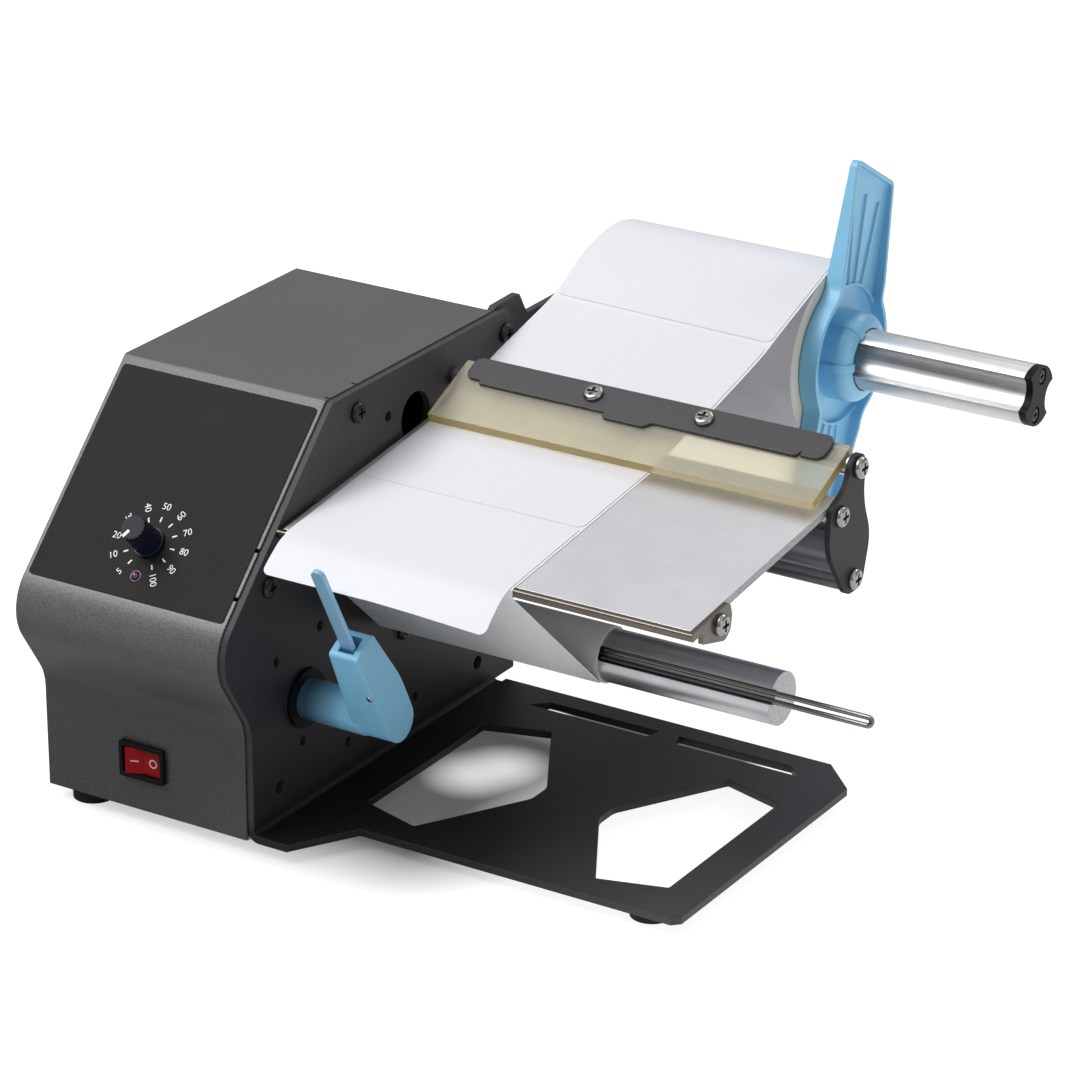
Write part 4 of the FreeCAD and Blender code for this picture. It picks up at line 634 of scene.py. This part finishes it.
rounding.segments = 2
bpy.ops.object.modifier_apply(modifier="rounding")
pointed = Matrix.Rotation(math.radians(151), 4, "Z")
set_down(knob_pointer, on_panel @ pointed, "knob", ink)

# ---- Status lamp and its ring ----------------------------------------------------------------
# A 3 mm lamp with a clear dark red lens in a narrow turned collar, blued.
lens = new_material("lamp_lens", Coat_Weight=0.6, Coat_Roughness=0.08, Specular_IOR_Level=0.6)
finish(lens, moulded, Plastic=(0.14, 0.004, 0.008, 1), Skin=0.0, Gloss=0.12, Edge=0.3 * mm, Worn=0.4)
dress(lens, "status_lamp")
blued = new_material("blued_steel", Metallic=0.7)
finish(blued, drawn, Metal=(0.10, 0.12, 0.22, 1), Along_X=700.0, Across=700.0, Lines=0.1, Gloss=0.3)
lamp_down = 13.9
bpy.ops.object.select_all(action="DESELECT")
bpy.ops.mesh.primitive_torus_add(location=(0, -lamp_down * mm, film_top), major_radius=2.1 * mm,
                                 minor_radius=0.32 * mm, major_segments=40, minor_segments=12)
lamp_ring = added("lamp_ring")
bpy.ops.object.shade_smooth()
set_down(lamp_ring, on_panel, "chassis", blued)

# ---- Power rocker and its marks --------------------------------------------------------------
# Glossy red moulding that rocks in its black frame; the usual bar and ring are hot-stamped into
# its two faces in pinkish white.
rocker_red = new_material("rocker_red", Specular_IOR_Level=0.15)
finish(rocker_red, moulded, Plastic=(0.33, 0.004, 0.008, 1), Skin=0.03, Gloss=0.34, Edge=0.5 * mm,
       Worn=0.35)
dress(rocker_red, "rocker")
stamped = new_material("stamped_mark")
finish(stamped, moulded, Plastic=(0.80, 0.55, 0.56, 1), Skin=0.1, Gloss=0.4, Edge=0.02 * mm, Worn=0.0)
rock_axis = Vector(joints["rocker_rock"]["pos_m"])
rocked = Matrix.Translation(rock_axis) @ Matrix.Rotation(math.radians(10.0), 4, "Z")
face_len, face_rise = 7.8, 1.2          # each face of the rocker, from its middle to its end
axis_depth, mark_out = 3.4, 4.0
face_slope = math.atan2(face_rise, face_len)
mark_depth = axis_depth + face_rise * mark_out / face_len
marks = []
for side in (-1, 1):
    if side < 0:
        block((-1.7, -0.3, 0), (1.7, 0.3, 0.06))
    else:
        bpy.ops.mesh.primitive_torus_add(major_radius=1.6 * mm, minor_radius=0.3 * mm, major_segments=48,
                                         minor_segments=8)
        bpy.ops.object.mode_set(mode="EDIT")
        bpy.ops.mesh.select_all(action="SELECT")
        bpy.ops.transform.resize(value=(1, 1, 0.2))
        bpy.ops.object.mode_set(mode="OBJECT")
    mark = bpy.context.object
    middle = Matrix.Translation((side * mark_out * mm, -mark_depth * mm, 0))
    upright = Matrix.Rotation(math.pi / 2, 4, "X")
    mark.matrix_world = middle @ Matrix.Rotation(-side * face_slope, 4, "Z") @ upright
    apply_place()
    marks.append(mark)
rocker_marks = merged(marks, "rocker_marks")
set_down(rocker_marks, rocked, "power_rocker", stamped)

# ---- Rewind rod's clip and wound liner -------------------------------------------------------
# The clip is a hairpin of bright spring wire.  The spent liner is wound tightly on the rod; its
# turns show as fine rings at its end.
wire = new_material("spring_wire", Metallic=1.0)
finish(wire, drawn, Metal=(0.20, 0.185, 0.17, 1), Along_X=25.0, Across=1200.0, Lines=0.1, Gloss=0.2)
dress(wire, "retaining_clip")

paper, given, made = effect(
    "paper", [("Sheet", COLOR, (0.9, 0.9, 0.9, 1)), ("Fibre", NUMBER, 0.1), ("Gloss", NUMBER, 0.5)],
    [("Color", COLOR), ("Roughness", NUMBER), ("Normal", VECTOR)])
place = object_place(paper)
fibre = noise(paper, place, 900.0, 3.0)
cockle = noise(paper, place, 14.0, 1.0)
tone = maths(paper, "MULTIPLY", spread(paper, fibre, 0.985, 1.015), spread(paper, cockle, 0.99, 1.01))
waves = bumped(paper, cockle, 0.12, 3 * mm)
put_out(paper, made, Color=scaled(paper, given["Sheet"], tone),
        Roughness=maths(paper, "ADD", given["Gloss"], spread(paper, fibre, -0.04, 0.04)),
        Normal=bumped(paper, fibre, given["Fibre"], 0.05 * mm, Normal=waves))

turns, given, made = effect(
    "wound_turns", [("Sheet", COLOR, (0.6, 0.6, 0.6, 1)), ("Outside", COLOR, (0.6, 0.6, 0.6, 1)),
                    ("Axis", VECTOR, (0, 0, 0)), ("Pitch", NUMBER, 0.2 * mm),
                    ("Gloss", NUMBER, 0.5), ("Contrast", NUMBER, 0.2)],
    [("Color", COLOR), ("Roughness", NUMBER), ("Normal", VECTOR)])
place = object_place(turns)
reach = vector_maths(turns, "SUBTRACT", place, given["Axis"])
reach = vector_maths(turns, "MULTIPLY", reach, (0, 1, 1))
radius = vector_maths(turns, "LENGTH", reach, output="Value")
ring = maths(turns, "DIVIDE", radius, given["Pitch"])
ring = add_node(turns, "ShaderNodeCombineXYZ", {"X": ring}).outputs[0]
layers = noise(turns, ring, 1.0, 2.0)
dirt = noise(turns, place, 90.0, 3.0)
on_end = spread(turns, maths(turns, "ABSOLUTE", facing(turns, "X")), 0.0, 1.0, 0.6, 0.9)
gaps = maths(turns, "MULTIPLY", spread(turns, layers, -1.0, 0.0), on_end)
tone = maths(turns, "ADD", maths(turns, "MULTIPLY", gaps, given["Contrast"]), 1.0)
tone = maths(turns, "MULTIPLY", tone, spread(turns, dirt, 0.96, 1.04))
paper_colour = blended(turns, on_end, given["Outside"], given["Sheet"])
put_out(turns, made, Color=scaled(turns, paper_colour, tone),
        Roughness=maths(turns, "SUBTRACT", given["Gloss"], maths(turns, "MULTIPLY", gaps, 0.1)),
        Normal=bumped(turns, gaps, 0.25, 0.1 * mm))

wound = new_material("wound_paper", Specular_IOR_Level=0.4)
finish(wound, turns, Sheet=(0.50, 0.50, 0.48, 1), Outside=(0.55, 0.55, 0.55, 1),
       Axis=joints["rewind_spin"]["pos_m"], Pitch=0.15 * mm, Gloss=0.5, Contrast=0.3)
dress(wound, "rewound_liner")

# ---- Press flap ------------------------------------------------------------------------------
# A 4 mm strip of cast polyurethane, clear amber: pale over the web, and painted deep yellow along
# its cut ends as painted light, for the light that has come the whole way through it.
amber = new_material("cast_amber", Transmission_Weight=0.7, IOR=1.48)
tree = amber.node_tree
upper = spread(tree, maths(tree, "ABSOLUTE", facing(tree, "Z")), 0.0, 1.0, 0.5, 0.9)
finish(amber, moulded, Plastic=blended(tree, upper, (0.62, 0.52, 0.22, 1), (0.71, 0.70, 0.63, 1)),
       Skin=0.0, Gloss=0.14, Edge=0.4 * mm, Worn=0.0)
light_let_by = 0.55             # the share of the light that the strip lets on to the paper
shadow = add_node(tree, "ShaderNodeLightPath").outputs["Is Shadow Ray"]
clear = maths(tree, "SUBTRACT", 1.0, maths(tree, "MULTIPLY", shadow, light_let_by))
tree.links.new(clear, tree.nodes["Principled BSDF"].inputs["Alpha"])
haze = add_node(tree, "ShaderNodeVolumeAbsorption", {"Color": (0.85, 0.72, 0.22, 1), "Density": 85.0})
tree.links.new(haze.outputs[0], tree.nodes["Material Output"].inputs["Volume"])
dress(amber, "press_flap")

# ---- Label sensor ----------------------------------------------------------------------------
# Holder moulded in light blue nylon on a tube that turns in the wall's bush; the feeler is a strip
# of the same.  The tube is painted darker by the wall as painted shade, and the faces that look
# right are painted a deeper blue as painted shade.
sensor_blue = new_material("sensor_blue", Specular_IOR_Level=0.5)
tree = sensor_blue.node_tree
out_of_wall_shade = spread(tree, position(tree, "X"), 0.0, 1.0, datum.x + 6 * mm, datum.x + 22 * mm)
side_painted_shade = blended(tree, spread(tree, facing(tree, "X"), 0.0, 1.0, 0.2, 0.9),
                (0.275, 0.665, 0.95, 1), (0.185, 0.445, 0.635, 1))
finish(sensor_blue, moulded, Plastic=blended(tree, out_of_wall_shade, (0.045, 0.11, 0.18, 1), side_painted_shade),
       Skin=0.05, Gloss=0.36, Edge=0.9 * mm, Worn=0.5)
dress(sensor_blue, "sensor_arm")
feeler_blue = new_material("feeler_blue", Specular_IOR_Level=0.5)
finish(feeler_blue, moulded, Plastic=(0.235, 0.47, 0.68, 1), Skin=0.05, Gloss=0.34, Edge=0.3 * mm,
       Worn=0.4)
dress(feeler_blue, "trigger_finger")

# ---- Label roll and its core -----------------------------------------------------------------
# The spiral-wound card core carries the roll; the roll's outer turn shows the labels with the bare
# liner between them, and its ends show the turns as fine cream rings.
web_x0, web_x1 = 4.5, 105.5
roll_r, core_r = 36.2, 14.7
label_t, liner_t = 0.25, 0.3
card = new_material("core_card")
finish(card, turns, Sheet=(0.36, 0.27, 0.17, 1), Outside=(0.36, 0.27, 0.17, 1), Axis=roll_axis,
       Pitch=0.5 * mm, Gloss=0.8, Contrast=0.2)
dress(card, "roll_core")

label_white = new_material("label_white", Specular_IOR_Level=0.45)
finish(label_white, paper, Sheet=(0.795, 0.79, 0.835, 1), Fibre=0.08, Gloss=0.45)
liner_white = new_material("liner_white", Specular_IOR_Level=0.5)
finish(liner_white, paper, Sheet=(0.84, 0.84, 0.85, 1), Fibre=0.0, Gloss=0.3)
cream = new_material("roll_cream", Specular_IOR_Level=0.4)
finish(cream, turns, Sheet=(0.70, 0.68, 0.60, 1), Outside=(0.83, 0.83, 0.88, 1), Axis=roll_axis,
       Pitch=0.25 * mm, Gloss=0.6, Contrast=0.18)

bpy.ops.object.select_all(action="DESELECT")
bpy.ops.mesh.primitive_circle_add(vertices=4, radius=1, rotation=(0, 0, math.pi / 4))
ring_piece = added("wound_roll")
half_diagonal = math.sqrt(2) / 2
apply_place()
ring_piece.scale = ((web_x1 - web_x0) * half_diagonal * mm, (roll_r - core_r) * half_diagonal * mm, 1)
ring_piece.location = ((web_x0 + web_x1) / 2 * mm, (roll_r + core_r) / 2 * mm, 0)
apply_place()
edit_all()
bpy.ops.mesh.spin(steps=160, angle=2 * math.pi, center=(0, 0, 0), axis=(1, 0, 0))
bpy.ops.mesh.select_all(action="SELECT")
bpy.ops.mesh.remove_doubles(threshold=0.01 * mm)
bpy.ops.mesh.normals_make_consistent(inside=False)
bpy.ops.object.mode_set(mode="OBJECT")
bpy.ops.object.shade_smooth_by_angle(angle=math.radians(40))
at_roll = Matrix.Translation((datum.x, roll_axis.y, roll_axis.z))
set_down(ring_piece, at_roll, "roll", cream)
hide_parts("label_roll")


def label(name, x0, x1, s0, s1, pitch, corner_r=3.0, columns=6):
    """A flat label with rounded corners, cut across often enough to be bent along the web."""
    bpy.ops.object.select_all(action="DESELECT")
    bpy.ops.mesh.primitive_plane_add(size=1, location=((x0 + x1) / 2 * mm, (s0 + s1) / 2 * mm, 0))
    piece = added(name)
    piece.scale = ((x1 - x0) * mm, (s1 - s0) * mm, 1)
    apply_place()
    edit_all()
    bpy.ops.mesh.bevel(offset=corner_r * mm, segments=6, affect="VERTICES")
    for k in range(1, math.ceil((s1 - s0) / pitch)):
        bpy.ops.mesh.select_all(action="SELECT")
        bpy.ops.mesh.bisect(plane_co=(0, (s0 + k * pitch) * mm, 0), plane_no=(0, 1, 0))
    for k in range(1, columns):
        bpy.ops.mesh.select_all(action="SELECT")
        bpy.ops.mesh.bisect(plane_co=((x0 + (x1 - x0) * k / columns) * mm, 0, 0), plane_no=(1, 0, 0))
    bpy.ops.object.mode_set(mode="OBJECT")
    return piece


def thicken(piece, thickness):
    only(piece)
    layer = piece.modifiers.new("thickness", "SOLIDIFY")
    layer.thickness = thickness * mm
    layer.offset = 1.0
    bpy.ops.object.modifier_apply(modifier="thickness")
    bpy.ops.object.shade_smooth_by_angle(angle=math.radians(40))


label_len, label_pitch = 70.2, 72.6
label_x0, label_x1 = web_x0 + 1.0, web_x1 - 1.0
first_on_roll = 118.0           # where the first label on the roll starts, degrees down from its crest
for k in range(3):
    start = (first_on_roll - 90) / 180 * math.pi * roll_r + k * label_pitch
    piece = label(f"roll_label_{k + 1}", label_x0, label_x1, start, start + label_len, 2.0)
    for vertex in piece.data.vertices:
        around = vertex.co.y / (roll_r * mm)
        vertex.co = (vertex.co.x, -math.cos(around) * roll_r * mm, -math.sin(around) * roll_r * mm)
    thicken(piece, label_t)
    set_down(piece, at_roll, "roll", label_white)

# ---- Liner and labels between roll, plate and rewind rod -------------------------------------
# One run of glazed liner: off the roll's crest, under the flap, over the plate, sharply round the
# strip and slanting down to the rod.  Its left edge stands a little prouder where it leaves the roll.
plate_tilt = math.radians(7.0)
plate_y, plate_z = 21.5, 129.0          # the plate's front top edge, mm from the datum
plate_len = 110.8
nose_out, nose_fall = 2.1, 3.4          # the strip's fold, in front of that edge and below it


def plate_at(along, up):
    return Vector((plate_y + along * math.cos(plate_tilt) - up * math.sin(plate_tilt),
                   plate_z + along * math.sin(plate_tilt) + up * math.cos(plate_tilt)))


def rounded_line(corners, corner_r, steps=8):
    """The line through the corners (y, z), each inner corner rounded."""
    line = [corners[0]]
    for before, here, after in zip(corners, corners[1:], corners[2:]):
        back, ahead = (before - here).normalized(), (after - here).normalized()
        cut = corner_r / math.tan(back.angle(ahead) / 2)
        start, stop = here + back * cut, here + ahead * cut
        for k in range(steps + 1):
            t = k / steps
            line.append(start.lerp(here, t).lerp(here.lerp(stop, t), t))
    return line + [corners[-1]]


def flowing_line(points, steps=6):
    """A smooth line through all the points."""
    ends = [2 * points[0] - points[1], *points, 2 * points[-1] - points[-2]]
    line = []
    for a, b, c, d in zip(ends, ends[1:], ends[2:], ends[3:]):
        for k in range(steps):
            t = k / steps
            line.append(0.5 * (2 * b + (c - a) * t + (2 * a - 5 * b + 4 * c - d) * t ** 2
                               + (3 * b - a - 3 * c + d) * t ** 3))
    return line + [points[-1]]


def length_of(line):
    return sum((b - a).length for a, b in zip(line, line[1:]))


def along_line(line, distance):
    for a, b in zip(line, line[1:]):
        step = (b - a).length
        if distance <= step:
            break
        distance -= step
    return a.lerp(b, distance / step) if step else a


lift = 0.1
rod_axis = Vector(joints["rewind_spin"]["pos_m"]) - datum
rod_axis = Vector((rod_axis.y, rod_axis.z)) / mm
wound_r = 11.9
nose_top = plate_at(-nose_out, lift)
nose_low = plate_at(-nose_out, -nose_fall)
away = nose_low - rod_axis
touch = math.atan2(away.y, away.x) + math.acos(wound_r / away.length)
rod_touch = rod_axis + wound_r * Vector((math.cos(touch), math.sin(touch)))
plate_rear = plate_at(plate_len, lift)
to_plate = rounded_line([rod_touch, nose_low, nose_top, plate_rear], 1.0)
roll_middle = Vector((roll_y, roll_z))
web_r = 36.5


def onto_roll(points, from_deg, to_deg, steps=12):
    turn = [math.radians(from_deg + (to_deg - from_deg) * k / steps) for k in range(steps + 1)]
    return points + [roll_middle + web_r * Vector((math.cos(a), math.sin(a))) for a in turn]


left_run = [(162.2, 153.0), (184.6, 158.8), (206.5, 164.4), (214.9, 167.8), (222.6, 172.0),
            (230.3, 175.9), (238, 178.8), (245.8, 180.8), (253.7, 181.9), (261.6, 181.9), (269.7, 180.3)]
right_run = [(162.2, 150.6), (199.1, 160.1), (214.8, 165.6), (230.8, 171.4), (246.9, 177.0),
             (255.8, 180.1)]
left_rise = onto_roll([Vector(point) for point in left_run], 72, 52)
right_rise = onto_roll([Vector(point) for point in right_run], 90, 52)
left_line = to_plate[:-1] + flowing_line([plate_rear] + left_rise)
right_line = to_plate[:-1] + flowing_line([plate_rear] + right_rise)
rear_s = length_of(to_plate)
nose_s = rear_s - plate_len - nose_out
web_s = length_of(left_line)
right_stretch = (length_of(right_line) - rear_s) / (web_s - rear_s)


def web_at(x, s):
    """A point of the liner's under side, s mm up the web from the rewind rod."""
    left = along_line(left_line, s)
    right = along_line(right_line, s if s < rear_s else rear_s + (s - rear_s) * right_stretch)
    return left.lerp(right, (x - web_x0) / (web_x1 - web_x0))


def lay_on_web(piece, height):
    for vertex in piece.data.vertices:
        x, s = vertex.co.x / mm, vertex.co.y / mm
        here = web_at(x, s)
        ahead = (web_at(x, min(s + 0.3, web_s)) - web_at(x, max(s - 0.3, 0))).normalized()
        here += Vector((-ahead.y, ahead.x)) * height
        vertex.co = (x * mm, here.x * mm, here.y * mm)


bpy.ops.object.select_all(action="DESELECT")
bpy.ops.mesh.primitive_grid_add(x_subdivisions=8, y_subdivisions=round(web_s / 0.5), size=1,
                                location=((web_x0 + web_x1) / 2 * mm, web_s / 2 * mm, 0))
liner = added("liner_web")
liner.scale = ((web_x1 - web_x0) * mm, web_s * mm, 1)
apply_place()
lay_on_web(liner, 0.0)
thicken(liner, liner_t - 0.08)
at_datum = Matrix.Translation(datum)
set_down(liner, at_datum, "chassis", liner_white)
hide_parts("backing_liner")

first_label_on = 48.0
for k in range(3):
    start = nose_s + first_label_on + label_pitch - label_len + k * label_pitch
    stop = min(start + label_len, web_s - 0.5)
    piece = label(f"web_label_{k + 1}", label_x0, label_x1, start, stop, 1.5)
    lay_on_web(piece, liner_t)
    thicken(piece, label_t)
    set_down(piece, at_datum, "chassis", label_white)
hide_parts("web_labels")

# ---- Label leaving the plate -----------------------------------------------------------------
# The first label hangs out over the strip by the length tip: it keeps straight on as the liner
# turns away under it, and bends down under its own weight.
tip = label_len - first_label_on
bend_start = 6                  # the label lies flat on the plate down to here
droop_x, droop_w, droop_h = 60, 45, 2.2     # its right corner hangs lower than its left
lead = label("leading_label_sheet", label_x0, label_x1, -tip, first_label_on, 0.6)
hanging = [(16.6, 128.0), (13.4, 126.6), (10.0, 124.3), (6.2, 121.5), (0.9, 117.3)]
peeled = [plate_at(bend_start, 0), plate_at(2, 0), plate_at(-1.5, -0.05)] + [Vector(p) for p in hanging]
free_line = flowing_line(peeled)[::-1]
free_len = length_of(free_line)
label_lift = lift + liner_t
for vertex in lead.data.vertices:
    x, s = vertex.co.x / mm, vertex.co.y / mm
    if s >= bend_start:
        here, ahead = plate_at(s, 0), plate_at(1, 0) - plate_at(0, 0)
    else:
        reach = max(free_len - (bend_start - s), 0.0)
        here = along_line(free_line, reach)
        ahead = (along_line(free_line, min(reach + 0.4, free_len))
                 - along_line(free_line, max(reach - 0.4, 0)))
    ahead.normalize()
    here = here + Vector((-ahead.y, ahead.x)) * label_lift
    droop = max(0.0, -s / tip) ** 2 * max(0.0, (x - droop_x) / droop_w) * droop_h
    vertex.co = (x * mm, here.x * mm, (here.y - droop) * mm)
thicken(lead, label_t)
set_down(lead, at_datum, "chassis", label_white)
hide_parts("leading_label")

# ---- Width guide -----------------------------------------------------------------------------
# Moulded in light blue nylon, with generous edge radii.  Four rounded bands cross the domed hub
# and stiffen it.
guide_blue = new_material("guide_blue", Specular_IOR_Level=0.5)
finish(guide_blue, moulded, Plastic=(0.225, 0.54, 0.785, 1), Skin=0.06, Gloss=0.36, Edge=1.0 * mm,
       Worn=0.5)
dress(guide_blue, "width_guide")
guide_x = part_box("width_guide")[0][0]
spindle_z = 144.2
spindle_turn = math.radians(-17.5)
spindle_axis = Vector((guide_x, datum.y + roll_y * mm, datum.z + spindle_z * mm))
dome_r, hub_h, fillet, bore_r = 18.6, 15.1, 5.5, 12.9
band_w, band_h, band_t = 3.4, 1.0, 1.6
valley = 1.8
bands = []
for angle in (45, 105, 225, 285):
    bpy.ops.object.select_all(action="DESELECT")
    bpy.ops.mesh.primitive_plane_add(size=1, rotation=(0, math.pi / 2, 0),
                                     location=(valley * mm, 0, (dome_r + band_h - band_t / 2) * mm))
    band = bpy.context.object
    band.scale = (band_t * mm, band_w * mm, 1)
    apply_place()
    edit_all()
    bpy.ops.mesh.extrude_region_move(
        TRANSFORM_OT_translate={"value": ((hub_h - fillet - valley) * mm, 0, 0)})
    bpy.ops.mesh.spin(steps=8, angle=-math.pi / 2, axis=(0, 1, 0),
                      center=((hub_h - fillet) * mm, 0, (dome_r - fillet) * mm))
    bpy.ops.mesh.extrude_region_move(
        TRANSFORM_OT_translate={"value": (0, 0, (bore_r + fillet - dome_r) * mm)})
    bpy.ops.mesh.select_all(action="SELECT")
    bpy.ops.mesh.normals_make_consistent(inside=False)
    bpy.ops.object.mode_set(mode="OBJECT")
    rounding = band.modifiers.new("rounding", "BEVEL")
    rounding.width = 0.55 * mm
    rounding.segments = 3
    rounding.limit_method = "ANGLE"
    rounding.angle_limit = math.radians(50)
    bpy.ops.object.modifier_apply(modifier="rounding")
    bpy.ops.object.shade_smooth_by_angle(angle=math.radians(45))
    band.matrix_world = Matrix.Rotation(math.radians(angle), 4, "X")
    apply_place()
    bands.append(band)
guide_bands = merged(bands, "guide_bands")
on_spindle = Matrix.Translation(spindle_axis) @ Matrix.Rotation(spindle_turn, 4, "X")
set_down(guide_bands, on_spindle, "guide", guide_blue)
